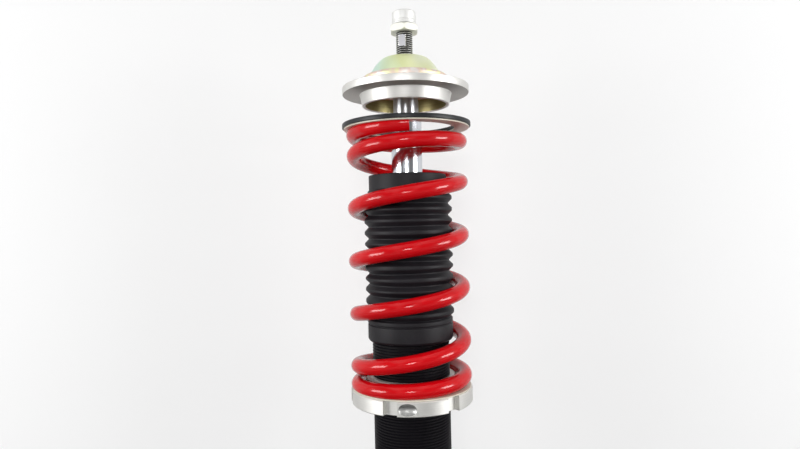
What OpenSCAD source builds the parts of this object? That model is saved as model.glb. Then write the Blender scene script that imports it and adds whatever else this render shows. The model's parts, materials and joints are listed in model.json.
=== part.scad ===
// Front strut coilover: a height-adjustable spring on a threaded twin-tube damper,
// with its upper spring seat, dust boot and lower knuckle bracket.
// Millimetres. The damper's axis is Z and the top of the bearing cap is at Z = 0,
// so every other height is worked out downwards from there.

/* [Coil spring] */
// Gap between the case's thread and the inside of the coil
coil_clearance = 5; // [4.7:0.1:7]
// Diameter of the wire
wire_d = 10.7; // [9.5:0.1:11.5]
// Free length between the two ground ends
spring_length = 182.5; // [165:0.5:195]
// Turns from tip to tip, with one closed turn at each end
spring_turns = 6.3; // [5.3:0.1:7]
// Height of wire left above its centre at each ground tip
ground_rest = 1.2; // [0.6:0.1:2.5]

/* [Upper seat] */
// How far the upper seat's plate reaches past the coil
seat_overhang = 2.1; // [1:0.1:6]
// Thickness of that plate
seat_t = 5; // [4:0.1:9]
// Length of the hollow boss below the plate
boss_drop = 8; // [5:0.5:11]
// Wall of the boss at its tip
boss_wall = 2.2; // [1.6:0.1:2.6]
// How much wider the boss is at its root than at its tip, on the radius
boss_flare = 1.7; // [0.5:0.1:2]
// Height of the pressed bearing cap above the plate
cap_h = 21; // [18:0.5:26]
// Sheet thickness of the cap
cap_t = 2.5; // [1.5:0.1:3]
// Radius of the flat on top of the cap
cap_flat_r = 14.5; // [12:0.5:15]
// Gap between the plate and the pad ring at full droop
droop_gap = 21; // [12:0.5:24]
// How far the pad ring reaches past the coil
pad_overhang = 2.8; // [1:0.1:6]
// Thickness of the pad ring
pad_t = 3; // [2:0.25:4]
// Thickness of the thrust washer between the pad ring and the spring
upper_washer_t = 1; // [0.8:0.1:2]

/* [Damper] */
// Outside diameter of the case's thread
case_d = 55; // [54:0.5:56]
// Pitch of the case's thread
case_pitch = 2; // [1.5:0.25:3]
// Wall of the case, out to the thread's crests
case_wall = 4; // [3.5:0.1:4.5]
// Distance from the cap's top to the case's top at full droop
rod_reach = 187; // [184:0.5:192]
// Diameter of the chromed rod
rod_d = 22; // [20:0.5:22]
// Diameter of the rod's neck below the cap
neck_d = 18; // [15:0.5:19]
// Length of that neck, from the cap's top down
neck_length = 41; // [32:0.5:60]
// Diameter of the threaded stud
stud_d = 12; // [10:1:14]
// Pitch of the stud's thread
stud_pitch = 1.5; // [1:0.25:1.75]
// Stroke of the damper
stroke = 80; // [70:1:90]
// Length of the case that the stroke doesn't use
case_reserve = 197; // [190:1:215]
// Bore of the inner cylinder
cylinder_bore = 35; // [32:0.5:37]
// Wall of the inner cylinder
cylinder_wall = 1.5; // [1.2:0.1:1.8]
// Height of the piston
piston_h = 18; // [14:0.5:22]

/* [Rod end] */
// Diameter of the damping dial
knob_d = 17; // [16:0.5:20]
// Height of the damping dial
knob_h = 10; // [8:0.5:12]
// Width across the flats of the lock nut
nut_af = 19; // [18:0.5:22]
// Height of the lock nut
nut_h = 5; // [4:0.5:7]
// Length of bare stud between the cap and the lock nut
stud_bare = 18.5; // [16:0.5:30]
// Bore down the middle of the rod
needle_bore = 5.2; // [4.6:0.2:6]

/* [Boot and bump stop] */
// How far the valleys between the boot's ribs stand off the case's thread
valley_standoff = 0.9; // [0.6:0.1:1.2]
// Height of a rib above its valleys
rib_height = 3.1; // [2:0.1:3.3]
// Distance from rib to rib
rib_pitch = 8.06; // [7:0.02:8.2]
// Number of ribs
rib_count = 11; // [8:1:11]
// Wall of the boot
boot_wall = 1.4; // [1:0.1:1.6]
// How much smaller the upper cuff is than the valleys, on the radius
cuff_step = 0.6; // [0.3:0.1:1.2]
// Height of the upper cuff
upper_cuff_h = 10.5; // [8:0.5:13]
// Height of the lower cuff
lower_cuff_h = 16; // [12:0.5:20]
// Wall of the lower cuff
lower_cuff_wall = 2.9; // [2:0.1:3.5]
// Length of the bump stop
bump_length = 50; // [35:1:55]

/* [Perch and lock ring] */
// How far the spring perch reaches past the coil
perch_overhang = 0.2; // [0.2:0.1:5]
// Height of the perch's rim
perch_t = 10; // [8:0.5:16]
// Height of the collar that centres the spring
collar_h = 8.5; // [5:0.5:12]
// Number of spanner notches
notch_count = 6; // [4:1:8]
// Angle that one notch takes up
notch_angle = 13; // [8:1:16]
// Depth of a notch
notch_depth = 4.4; // [2:0.1:5]
// Thickness of the thrust washer under the spring
washer_t = 1; // [0.8:0.1:2]
// How far the bracket's lock ring stands out from the case's thread
lock_ring_rim = 9.5; // [8:0.5:14]
// Height of the lock ring
lock_ring_h = 10; // [8:0.5:14]

/* [Lower bracket] */
// Length of the bracket's threaded socket
socket_length = 108; // [104:1:120]
// Wall of the socket
socket_wall = 5.45; // [4:0.05:7]
// How far the socket reaches below the case
socket_over = 6; // [2:0.5:10]
// Thickness of the yoke's plate
yoke_t = 5; // [4:0.5:6]
// Gap between the two ears
ear_gap = 34; // [28:1:40]
// Distance from the damper's axis to the knuckle bolts
bolt_offset = 58; // [56:1:66]
// Distance between the two knuckle bolts
bolt_spacing = 60; // [50:1:64]
// Diameter of the knuckle bolt holes
bolt_hole_d = 14.2; // [12.2:0.2:16.2]
// Metal round each bolt hole, on the radius
ear_margin = 10; // [8:0.5:13]
// Diameter of the stabiliser link's hole
link_hole_d = 10.2; // [8.2:0.2:12.2]
// Diameter of the hose clip's hole
hose_hole_d = 10.6; // [8:0.2:12]

/* [Hidden] */
$fn = 96;

// Clearances
rest_gap = 0.05;      // between two faces that rest on each other on different bodies
thread_gap = 0.05;    // on the radius, between a screwed piece and its thread
slide_gap = 0.03;     // on the radius, between a sliding shaft and its guide
loose_gap = 0.3;      // on the radius, where a piece only has to clear another
cut = 1;              // how far a cutting shape runs past the face that it cuts
edge_break = 0.6;     // bevel on machined edges
front = -90;          // the side of the object that faces -Y

// Radii worked out from the sizes above
case_r = case_d / 2;
spring_inner_r = case_r + coil_clearance;
coil_r = spring_inner_r + wire_d / 2;
coil_outer_r = spring_inner_r + wire_d;
plate_r = coil_outer_r + seat_overhang;
pad_r = coil_outer_r + pad_overhang;
perch_r = coil_outer_r + perch_overhang;
lock_ring_r = case_r + lock_ring_rim;
thread_depth = 0.54 * case_pitch;
case_bore_r = case_r - case_wall;
screwed_r = case_r + thread_gap;
rod_r = rod_d / 2;
stud_r = stud_d / 2;
needle_r = needle_bore / 2 - loose_gap;
cylinder_r = cylinder_bore / 2 + cylinder_wall;

// Upper seat and cap
seat_top = -cap_h;
seat_bottom = seat_top - seat_t;
boss_clearance = 1.3;
boss_tip_r = spring_inner_r - boss_clearance;
boss_bore_r = boss_tip_r - boss_wall;
cap_lip_r = boss_bore_r - thread_gap;
cap_lip_drop = 3;
cap_bead_reach = 2.1;
cap_bead_r = cap_lip_r + cap_bead_reach;
cap_bead_h = 7.5;
cap_bead_round = 3;
cap_foot_r = cap_lip_r - 3.75;
cap_foot_rise = 2;
cap_shoulder_r = 5;
cap_slope_run = 5.45;
cap_slope_r = cap_lip_r - cap_slope_run;
cap_slope_drop = 0.4 * cap_h;

// Spring and what it rests on
pad_top = seat_bottom - droop_gap;
pad_bottom = pad_top - pad_t;
pad_hole_gap = 2;
pad_hole_r = spring_inner_r + pad_hole_gap;
upper_washer_bottom = pad_bottom - upper_washer_t;
upper_washer_inset = 1.2;
upper_washer_r = pad_r - upper_washer_inset;
spring_top = upper_washer_bottom - rest_gap;
spring_bottom = spring_top - spring_length;
washer_bottom = spring_bottom - washer_t;
washer_r = coil_outer_r - edge_break;
perch_top = washer_bottom - rest_gap;
perch_bottom = perch_top - perch_t;
collar_r = spring_inner_r - loose_gap;
collar_bevel = min(1.5, 0.6 * (collar_r - screwed_r));
scoop_angle = -5;
scoop_width = 12.6;
scoop_height = 8;
scoop_depth = 2.3;
cutter_edge_r = (pow(scoop_height / 2, 2) + pow(scoop_depth, 2)) / (2 * scoop_depth);
cutter_r = 1 / (2 * scoop_depth / pow(scoop_width / 2, 2) - 1 / perch_r);
first_notch = -20.75;

// Spring path
closed_gap = 0.1;
closed_pitch = wire_d + closed_gap;
ramp_turns = 0.5;
top_ramp = 1.1;
bottom_ramp = spring_turns - 1;
active_turns = bottom_ramp - top_ramp;
wire_top = spring_top - ground_rest;
wire_drop = spring_length - 2 * ground_rest;
extra_pitch = (wire_drop - closed_pitch * spring_turns) / active_turns;
tip_angle = front + 2;
rings_per_turn = 24;
wire_sides = 8;
ring_count = ceil(spring_turns * rings_per_turn) + 1;

// Damper, from the case's top down
case_length = stroke + case_reserve;
case_top = -rod_reach;
case_bottom = case_top - case_length;
gland_h = 12;
gland_recess = 5;
wrench_hole_depth = 4;
wrench_hole_r = 1.8;
wiper_lip = 1.5;
wiper_root = 1;
wiper_relief = 3;
gland_bottom = case_top - gland_h;
seal_t = 3;
guide_top = gland_bottom - seal_t;
guide_h = 15;
guide_step = 6;
guide_r = case_bore_r - thread_gap;
guide_bottom = guide_top - guide_h;
bush_r = rod_r + 2;
o_ring_wire = 2.4;
o_ring_top = guide_top - 2.5;
stop_top = guide_bottom - rest_gap;
stop_h = 12;
stem_length = 28;
stem_r = 6;
stop_standoff = 40;
rod_shoulder = stop_top - stop_h - stop_standoff;
shim_t = 1.6;
shim_r = 14;
shim_step = 1.2;
piston_top = rod_shoulder - shim_t;
piston_bottom = piston_top - piston_h;
piston_r = cylinder_bore / 2 - 0.2;
port_count = 6;
port_r = 2;
port_circle_r = 11.5;
band_t = 1.2;
band_h = 10;
rebound_shim_bottom = piston_bottom - shim_t;
piston_nut_h = 7;
piston_nut_af = 19;
stem_bottom = rod_shoulder - stem_length;
end_cap_h = 8;
end_cap_top = case_bottom + end_cap_h;
base_h = 14;
base_top = end_cap_top + base_h;
base_step = 8;
base_bolt_r = 5;
base_bolt_h = 4;
cylinder_bottom = base_top - base_step;
cylinder_top = guide_bottom + guide_step;

// Rod end
nut_bottom = stud_bare;
nut_top = nut_bottom + nut_h;
knob_bottom = nut_top + rest_gap;
knob_top = knob_bottom + knob_h;
knob_socket = 0.6 * knob_h;
stud_top = knob_bottom + knob_socket - loose_gap;
flat_length = 8.7;
flat_top = nut_bottom - 2;
flat_cut = 0.65;
flat_turn = -19;
neck_top = -cap_t - rest_gap;
needle_recess = 6;
needle_taper = 8;
needle_bottom = stem_bottom + needle_recess;

// Boot and bump stop
rib_valley_r = case_r + valley_standoff;
rib_tip_r = rib_valley_r + rib_height;
upper_cuff_r = rib_valley_r - cuff_step;
boot_bore_r = case_r + thread_gap;
lower_cuff_r = boot_bore_r + lower_cuff_wall;
boot_overlap = 14;
boot_bottom = case_top - boot_overlap;
ribs_bottom = boot_bottom + lower_cuff_h;
ribs_top = ribs_bottom + rib_count * rib_pitch + rib_pitch / 4;
boot_top = ribs_top + upper_cuff_h;
rib_land = 0.9;
bump_r = upper_cuff_r - boot_wall - thread_gap;
bump_top = boot_top - 1;
bump_waist = 3;
bump_waists = 3;

// Bracket
socket_bottom = case_bottom - socket_over;
socket_top = socket_bottom + socket_length;
socket_r = screwed_r + socket_wall;
ring_bottom = socket_top + rest_gap;
lock_notch_depth = 3;
lock_ring_turn = 10;
yoke_r = socket_r + yoke_t;
yoke_setback = 10;
yoke_height = socket_length - yoke_setback;
yoke_lift = 3;
yoke_bottom = socket_bottom + yoke_lift;
front_relief = 16;
ear_r = bolt_hole_d / 2 + ear_margin;
lower_bolt_z = yoke_bottom + ear_r + 2;
upper_bolt_z = lower_bolt_z + bolt_spacing;
ear_outer = ear_gap / 2 + yoke_t;
tab_t = 6;
link_z = yoke_bottom + 0.55 * yoke_height;
link_margin = 7;
link_standoff = 8;
link_reach = yoke_r + link_hole_d / 2 + link_standoff;
hose_z = yoke_bottom + 0.8 * yoke_height;
hose_t = 3;
hose_margin = 5;
hose_standoff = 7;
hose_reach = yoke_r + hose_hole_d / 2 + hose_standoff;

// Ring with a rectangular section between two heights.
module ring(inner, outer, bottom, top) {
    translate([0, 0, bottom])
        rotate_extrude()
            translate([inner, 0])
                square([outer - inner, top - bottom]);
}

// Ring whose two outer edges are bevelled.
module bevelled_ring(inner, outer, bottom, top, bevel = edge_break) {
    rotate_extrude()
        polygon([
            [inner, bottom],
            [outer - bevel, bottom],
            [outer, bottom + bevel],
            [outer, top - bevel],
            [outer - bevel, top],
            [inner, top]
        ]);
}

// Hexagonal nut whose corners are turned off at both ends.
module hex_nut(af, hole_r, bottom, height) {
    corner_r = af / 2 / cos(30);
    bevel = corner_r - af / 2;
    difference() {
        intersection() {
            translate([0, 0, bottom])
                cylinder(r = corner_r, h = height, $fn = 6);
            bevelled_ring(0, corner_r, bottom, bottom + height, bevel * 0.8);
        }
        translate([0, 0, bottom - cut])
            cylinder(r = hole_r, h = height + 2 * cut);
    }
}

// Outline of a thread from one height up to another: a V for each pitch.
function thread_outline(radius, depth, pitch, low, high) =
    let (turns = floor((high - low) / pitch))
    concat(
        [for (i = [0 : turns - 1]) each [
            [radius - depth, low + i * pitch],
            [radius, low + (i + 0.5) * pitch]
        ]],
        [[radius - depth, low + turns * pitch]]
    );

// Points of an arc in a flat outline.
function arc(centre, radius, from, to, steps) = [
    for (i = [0 : steps])
        let (a = from + (to - from) * i / steps)
        centre + radius * [cos(a), sin(a)]
];

// Turns run since the middle of a smooth step from 0 to 1 that spans ramp_turns.
function ramp(turn, middle) =
    let (u = (turn - middle) / ramp_turns + 0.5)
    u <= 0 ? 0
    : u >= 1 ? turn - middle
    : ramp_turns * (pow(u, 3) - pow(u, 4) / 2);

// Height of the wire's centre, counted in turns from the upper tip.
function wire_z(turn) =
    wire_top - closed_pitch * turn - extra_pitch * (ramp(turn, top_ramp) - ramp(turn, bottom_ramp));

// One corner of the wire, turned flat side in, and cut off at the ground ends.
function wire_corner(turn, side) =
    let (
        angle = tip_angle - 360 * turn,
        around = 360 * (side + 0.5) / wire_sides,
        out = coil_r + wire_d / 2 * cos(around),
        z = wire_z(turn) + wire_d / 2 * sin(around)
    )
    [out * cos(angle), out * sin(angle), max(spring_bottom, min(spring_top, z))];

spring_points = [
    for (i = [0 : ring_count - 1], side = [0 : wire_sides - 1])
        wire_corner(spring_turns * i / (ring_count - 1), side)
];

// Two triangles for each side of each stretch, and a fan over each tip.
spring_faces = concat(
    [for (i = [0 : ring_count - 2], side = [0 : wire_sides - 1])
        let (
            a = i * wire_sides + side,
            b = i * wire_sides + (side + 1) % wire_sides,
            c = a + wire_sides,
            d = b + wire_sides
        )
        each [[a, c, b], [b, c, d]]
    ],
    [for (side = [1 : wire_sides - 2]) [0, side, side + 1]],
    [for (side = [1 : wire_sides - 2])
        let (last = (ring_count - 1) * wire_sides)
        [last, last + side + 1, last + side]
    ]
);

// Least distance between corners that lie at least three quarters of a turn apart.
first_apart = ceil(0.75 * rings_per_turn);
last_apart = ceil(1.25 * rings_per_turn);
spring_gap = min([
    for (i = [0 : ring_count - 1 - first_apart], k = [first_apart : last_apart])
        if (i + k < ring_count)
            for (s = [0 : wire_sides - 1], t = [0 : wire_sides - 1])
                norm(spring_points[i * wire_sides + s] - spring_points[(i + k) * wire_sides + t])
]);

module damping_knob() {
    color("whitesmoke")
        difference() {
            bevelled_ring(0, knob_d / 2, knob_bottom, knob_top, 0.8);
            translate([0, 0, knob_bottom - cut])
                cylinder(r = stud_r + thread_gap, h = knob_socket + cut);
        }
}

module adjuster_needle() {
    color("goldenrod")
        rotate_extrude()
            polygon([
                [0, needle_bottom],
                [needle_r / 3, needle_bottom + needle_taper / 8],
                [needle_r, needle_bottom + needle_taper],
                [needle_r, knob_bottom + knob_socket],
                [0, knob_bottom + knob_socket]
            ]);
}

module rod_lock_nut() {
    color("gainsboro")
        rotate(front)
            hex_nut(nut_af, stud_r + thread_gap, nut_bottom, nut_h);
}

module piston_rod() {
    outline = concat(
        [
            [needle_bore / 2, stem_bottom],
            [stem_r, stem_bottom],
            [stem_r, rod_shoulder],
            [rod_r, rod_shoulder],
            [rod_r, -neck_length - 2],
            [neck_d / 2, -neck_length],
            [neck_d / 2, neck_top],
            [stud_r, neck_top],
            [stud_r, 0]
        ],
        thread_outline(stud_r, 0.54 * stud_pitch, stud_pitch, 0.2, stud_top - 0.5),
        [[stud_r - 0.54 * stud_pitch, stud_top], [needle_bore / 2, stud_top]]
    );
    color("silver")
        difference() {
            rotate_extrude()
                polygon(outline);
            for (side = [0, 180])
                rotate(flat_turn + front + side)
                    translate([stud_r - flat_cut, -stud_r, flat_top - flat_length])
                        cube([stud_r, 2 * stud_r, flat_length]);
        }
}

module bearing_cap() {
    hole_r = stud_r + 2 * thread_gap;
    bead_top = -cap_h + cap_bead_h;
    outer = concat(
        arc([cap_flat_r, -cap_shoulder_r], cap_shoulder_r, 90, 45, 4),
        [
            [cap_slope_r, -cap_slope_drop],
            [cap_foot_r, bead_top + cap_foot_rise]
        ],
        arc([cap_bead_r - cap_bead_round, bead_top - cap_bead_round], cap_bead_round, 90, 0, 6),
        [
            [cap_bead_r, -cap_h],
            [cap_lip_r, -cap_h],
            [cap_lip_r, -cap_h - cap_lip_drop]
        ]
    );
    inner = [
        [cap_lip_r - cap_t, -cap_h - cap_lip_drop],
        [cap_lip_r - cap_t - 0.6, -cap_h + 2],
        [cap_slope_r - cap_t * 0.9, -cap_slope_drop - cap_t * 0.7],
        [cap_flat_r + 1, -cap_t],
        [hole_r, -cap_t],
        [hole_r, 0]
    ];
    color("darkkhaki")
        rotate_extrude()
            polygon(concat(outer, inner));
}

module upper_spring_seat() {
    color("gainsboro")
        rotate_extrude()
            polygon([
                [boss_bore_r, seat_top],
                [plate_r - edge_break, seat_top],
                [plate_r, seat_top - edge_break],
                [plate_r, seat_bottom + edge_break],
                [plate_r - edge_break, seat_bottom],
                [boss_tip_r + boss_flare, seat_bottom],
                [boss_tip_r, seat_bottom - boss_drop],
                [boss_bore_r, seat_bottom - boss_drop]
            ]);
}

module spring_pad_ring() {
    color("dimgray")
        bevelled_ring(pad_hole_r, pad_r, pad_bottom, pad_top, 0.4);
}

module upper_thrust_washer() {
    color("beige")
        ring(pad_hole_r, upper_washer_r, upper_washer_bottom, pad_bottom);
}

module coil_spring() {
    echo(spring_least_gap_mm = spring_gap);
    color("red")
        polyhedron(points = spring_points, faces = spring_faces);
}

module bump_stop() {
    step = bump_length / (bump_waists + 1);
    outline = concat(
        [[rod_r + loose_gap, bump_top], [rod_r + loose_gap, bump_top - bump_length]],
        [[bump_r - 6, bump_top - bump_length], [bump_r - bump_waist, bump_top - bump_length + 6]],
        [for (i = [bump_waists : -1 : 1])
            each [
                [bump_r - bump_waist, bump_top - i * step - 2],
                [bump_r - 2 * bump_waist, bump_top - i * step],
                [bump_r - bump_waist, bump_top - i * step + 2]
            ]
        ],
        [[bump_r, bump_top - upper_cuff_h], [bump_r, bump_top]]
    );
    color("khaki")
        rotate_extrude()
            polygon(outline);
}

// One wall line of the boot's ribs, from the bottom up, drawn in by the given amount.
function rib_line(inset) = [
    for (i = [0 : rib_count - 1])
        let (z = ribs_bottom + (i + 0.5) * rib_pitch)
        each [
            [rib_valley_r - inset, z - rib_pitch / 2 + rib_land / 2],
            [rib_tip_r - inset, z - rib_land / 2],
            [rib_tip_r - inset, z + rib_land / 2],
            [rib_valley_r - inset, z + rib_pitch / 2 - rib_land / 2]
        ]
];

module dust_boot() {
    inner_ribs = rib_line(boot_wall);
    lip_z = ribs_bottom - 4;
    outline = concat(
        [
            [boot_bore_r, boot_bottom],
            [lower_cuff_r - 1, boot_bottom],
            [lower_cuff_r, boot_bottom + 1.5],
            [lower_cuff_r, lip_z - 0.4],
            [lower_cuff_r - 0.5, lip_z],
            [lower_cuff_r, lip_z + 0.4],
            [lower_cuff_r, ribs_bottom - 0.8],
            [lower_cuff_r - 0.8, ribs_bottom]
        ],
        rib_line(0),
        [
            [rib_valley_r, ribs_top - 0.6],
            [upper_cuff_r, ribs_top],
            [upper_cuff_r, boot_top - 0.6],
            [upper_cuff_r - 0.6, boot_top],
            [upper_cuff_r - boot_wall, boot_top],
            [upper_cuff_r - boot_wall, ribs_top - 0.3]
        ],
        [for (i = [len(inner_ribs) - 1 : -1 : 0]) inner_ribs[i]],
        [
            [rib_valley_r - boot_wall, case_top + loose_gap],
            [boot_bore_r, case_top + loose_gap]
        ]
    );
    color("#202022")
        rotate_extrude()
            polygon(outline);
}

module thrust_washer() {
    color("beige")
        ring(spring_inner_r + loose_gap, washer_r, washer_bottom, spring_bottom);
}

// Spanner notches round a ring's rim, each a slot with straight sides.
module notches(rim_r, bottom, top, depth, turn) {
    width = 2 * rim_r * sin(notch_angle / 2);
    for (i = [0 : notch_count - 1])
        rotate(front + turn + i * 360 / notch_count)
            translate([rim_r - depth, -width / 2, bottom - cut])
                cube([depth + cut, width, top - bottom + 2 * cut]);
}

// Scoop in the perch's rim, as a disc cutter with a round edge leaves it.
module rim_scoop() {
    rotate(front + scoop_angle)
        translate([perch_r - scoop_depth + cutter_r, 0, (perch_top + perch_bottom) / 2])
            rotate_extrude()
                translate([cutter_r - cutter_edge_r, 0])
                    circle(r = cutter_edge_r);
}

module spring_perch() {
    color("gainsboro")
        difference() {
            union() {
                bevelled_ring(screwed_r, perch_r, perch_bottom, perch_top);
                bevelled_ring(screwed_r, collar_r, perch_top - cut, perch_top + collar_h, collar_bevel);
            }
            notches(perch_r, perch_bottom, perch_top, notch_depth, first_notch);
            rim_scoop();
        }
}

module damper_case() {
    plain = 3;
    outline = concat(
        [[case_bore_r, case_bottom], [case_r - thread_depth, case_bottom]],
        thread_outline(case_r, thread_depth, case_pitch, case_bottom + plain, case_top - plain),
        [[case_r - thread_depth, case_top], [case_bore_r, case_top]]
    );
    color("#2a2a2c")
        rotate_extrude()
            polygon(outline);
}

module gland_nut() {
    wrench_holes = 4;
    color("#505054")
        difference() {
            rotate_extrude()
                polygon([
                    [rod_r + loose_gap, gland_bottom],
                    [guide_r, gland_bottom],
                    [guide_r, case_top],
                    [rod_r + gland_recess, case_top],
                    [rod_r + gland_recess, case_top - gland_recess],
                    [rod_r + loose_gap, case_top - gland_recess]
                ]);
            for (i = [0 : wrench_holes - 1])
                rotate(i * 360 / wrench_holes + 45)
                    translate([(rod_r + gland_recess + guide_r) / 2, 0, case_top - wrench_hole_depth])
                        cylinder(r = wrench_hole_r, h = wrench_hole_depth + cut, $fn = 32);
        }
}

module wiper_seal() {
    seated = gland_recess - 2 * thread_gap;
    color("#303030")
        rotate_extrude()
            polygon([
                [rod_r + slide_gap, case_top + wiper_lip],
                [rod_r + wiper_lip, case_top + wiper_lip],
                [rod_r + seated, case_top],
                [rod_r + seated, case_top - seated],
                [rod_r + wiper_root, case_top - seated],
                [rod_r + slide_gap, case_top - wiper_relief]
            ]);
}

module rod_seal() {
    color("#404040")
        ring(rod_r + slide_gap, guide_r - 1, guide_top, gland_bottom);
}

module rod_guide() {
    groove = o_ring_wire;
    color("darkgray")
        rotate_extrude()
            polygon([
                [bush_r, guide_bottom],
                [cylinder_bore / 2 - thread_gap, guide_bottom],
                [cylinder_bore / 2 - thread_gap, guide_bottom + guide_step],
                [guide_r, guide_bottom + guide_step],
                [guide_r, o_ring_top - groove],
                [guide_r - groove, o_ring_top - groove],
                [guide_r - groove, o_ring_top],
                [guide_r, o_ring_top],
                [guide_r, guide_top],
                [bush_r, guide_top]
            ]);
}

module guide_bush() {
    color("peru")
        ring(rod_r + slide_gap, bush_r, guide_bottom, guide_top);
}

module guide_o_ring() {
    color("black")
        translate([0, 0, o_ring_top - o_ring_wire / 2])
            rotate_extrude()
                translate([guide_r - o_ring_wire / 2, 0])
                    circle(r = o_ring_wire / 2 - thread_gap, $fn = 32);
}

module rebound_stop() {
    color("olivedrab")
        bevelled_ring(rod_r, cylinder_bore / 2 - 1.5, stop_top - stop_h, stop_top, 1.5);
}

// Discs of falling size stacked towards one side: up is 1 or -1.
module shim_stack(face_z, up, widest) {
    shims = 4;
    each_t = shim_t / shims;
    for (i = [0 : shims - 1])
        translate([0, 0, up > 0 ? face_z + i * each_t : face_z - (i + 1) * each_t])
            difference() {
                cylinder(r = widest - i * shim_step, h = each_t);
                translate([0, 0, -cut])
                    cylinder(r = stem_r, h = each_t + 2 * cut);
            }
}

module compression_shims() {
    color("steelblue")
        shim_stack(piston_top, 1, shim_r);
}

module piston() {
    groove_low = (piston_top + piston_bottom - band_h) / 2;
    color("slategray")
        difference() {
            bevelled_ring(stem_r, piston_r, piston_bottom, piston_top);
            ring(piston_r - band_t, piston_r + cut, groove_low, groove_low + band_h);
            for (i = [0 : port_count - 1])
                rotate(i * 360 / port_count)
                    translate([port_circle_r, 0, piston_bottom - cut])
                        cylinder(r = port_r, h = piston_h + 2 * cut, $fn = 32);
        }
}

module piston_band() {
    groove_low = (piston_top + piston_bottom - band_h) / 2;
    color("darkgoldenrod")
        ring(piston_r - band_t, cylinder_bore / 2 - slide_gap, groove_low, groove_low + band_h);
}

module rebound_shims() {
    color("steelblue")
        shim_stack(piston_bottom, -1, shim_r);
}

module piston_nut() {
    color("gray")
        hex_nut(piston_nut_af, stem_r, rebound_shim_bottom - piston_nut_h, piston_nut_h);
}

module inner_cylinder() {
    color("lightsteelblue")
        ring(cylinder_bore / 2, cylinder_r, cylinder_bottom, cylinder_top);
}

module base_valve() {
    feed_holes = 6;
    spigot_r = cylinder_bore / 2 - thread_gap;
    color("darkgray")
        difference() {
            union() {
                ring(cylinder_r - 4, cylinder_r, end_cap_top, end_cap_top + 4);
                translate([0, 0, end_cap_top + 3])
                    cylinder(r = cylinder_r, h = base_h - base_step - 3);
                translate([0, 0, end_cap_top + 3])
                    cylinder(r = spigot_r, h = base_h - 3);
            }
            for (i = [0 : feed_holes - 1])
                rotate(i * 360 / feed_holes)
                    translate([port_circle_r, 0, end_cap_top])
                        cylinder(r = port_r, h = base_h + cut, $fn = 32);
            for (turn = [0, 90])
                rotate(turn)
                    translate([-cylinder_r - cut, -2.5, end_cap_top - cut])
                        cube([2 * (cylinder_r + cut), 5, 3 + cut]);
        }
}

module base_valve_shims() {
    color("steelblue") {
        translate([0, 0, base_top])
            cylinder(r = shim_r, h = shim_t / 2);
        translate([0, 0, base_top + shim_t / 2])
            cylinder(r = shim_r - 2 * shim_step, h = shim_t / 2);
        translate([0, 0, base_top + shim_t])
            cylinder(r = base_bolt_r, h = base_bolt_h, $fn = 6);
    }
}

module case_end_cap() {
    color("#505054")
        bevelled_ring(0, case_bore_r - thread_gap, case_bottom, end_cap_top);
}

module bracket_lock_ring() {
    color("gainsboro")
        difference() {
            bevelled_ring(screwed_r, lock_ring_r, ring_bottom, ring_bottom + lock_ring_h);
            notches(lock_ring_r, ring_bottom, ring_bottom + lock_ring_h, lock_notch_depth, lock_ring_turn);
        }
}

module bracket_socket() {
    color("#303032")
        bevelled_ring(screwed_r, socket_r, socket_bottom, socket_top, 1);
}

// The yoke seen from above: a band round the socket that runs out into two straight ears.
module yoke_plan() {
    reach = bolt_offset + ear_r;
    difference() {
        union() {
            circle(r = yoke_r);
            translate([-ear_outer, 0])
                square([2 * ear_outer, reach]);
        }
        circle(r = socket_r);
        translate([-ear_gap / 2, 0])
            square([ear_gap, reach + cut]);
    }
}

// The yoke seen from the side: a band that grows taller from its front out to the two bolts.
module yoke_side() {
    polygon([
        [-yoke_r - cut, yoke_bottom + front_relief],
        [-yoke_r / 2, yoke_bottom + front_relief],
        [0, yoke_bottom],
        [bolt_offset - ear_r, yoke_bottom],
        [bolt_offset, lower_bolt_z - ear_r],
        [bolt_offset + ear_r, lower_bolt_z],
        [bolt_offset + ear_r, upper_bolt_z],
        [bolt_offset, upper_bolt_z + ear_r],
        [yoke_r, yoke_bottom + yoke_height],
        [0, yoke_bottom + yoke_height],
        [-yoke_r / 2, yoke_bottom + yoke_height - front_relief],
        [-yoke_r - cut, yoke_bottom + yoke_height - front_relief]
    ]);
    for (z = [lower_bolt_z, upper_bolt_z])
        translate([bolt_offset, z])
            circle(r = ear_r);
}

module knuckle_yoke() {
    color("#303032")
        difference() {
            intersection() {
                translate([0, 0, socket_bottom])
                    linear_extrude(height = socket_length)
                        yoke_plan();
                translate([-yoke_r - cut, 0, 0])
                    rotate([90, 0, 90])
                        linear_extrude(height = 2 * (yoke_r + cut))
                            yoke_side();
            }
            for (z = [lower_bolt_z, upper_bolt_z])
                translate([-ear_outer - cut, bolt_offset, z])
                    rotate([0, 90, 0])
                        cylinder(r = bolt_hole_d / 2, h = 2 * (ear_outer + cut));
        }
}

module stabiliser_link_tab() {
    eye_r = link_hole_d / 2 + link_margin;
    color("#303032")
        difference() {
            translate([-tab_t / 2, 0, 0])
                rotate([90, 0, 90])
                    linear_extrude(height = tab_t)
                        difference() {
                            union() {
                                translate([-link_reach, link_z])
                                    circle(r = eye_r);
                                translate([-link_reach, link_z - eye_r])
                                    square([link_reach, 2 * eye_r]);
                            }
                            translate([-link_reach, link_z])
                                circle(r = link_hole_d / 2);
                        }
            translate([0, 0, link_z - eye_r - cut])
                cylinder(r = yoke_r, h = 2 * (eye_r + cut));
        }
}

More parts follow.
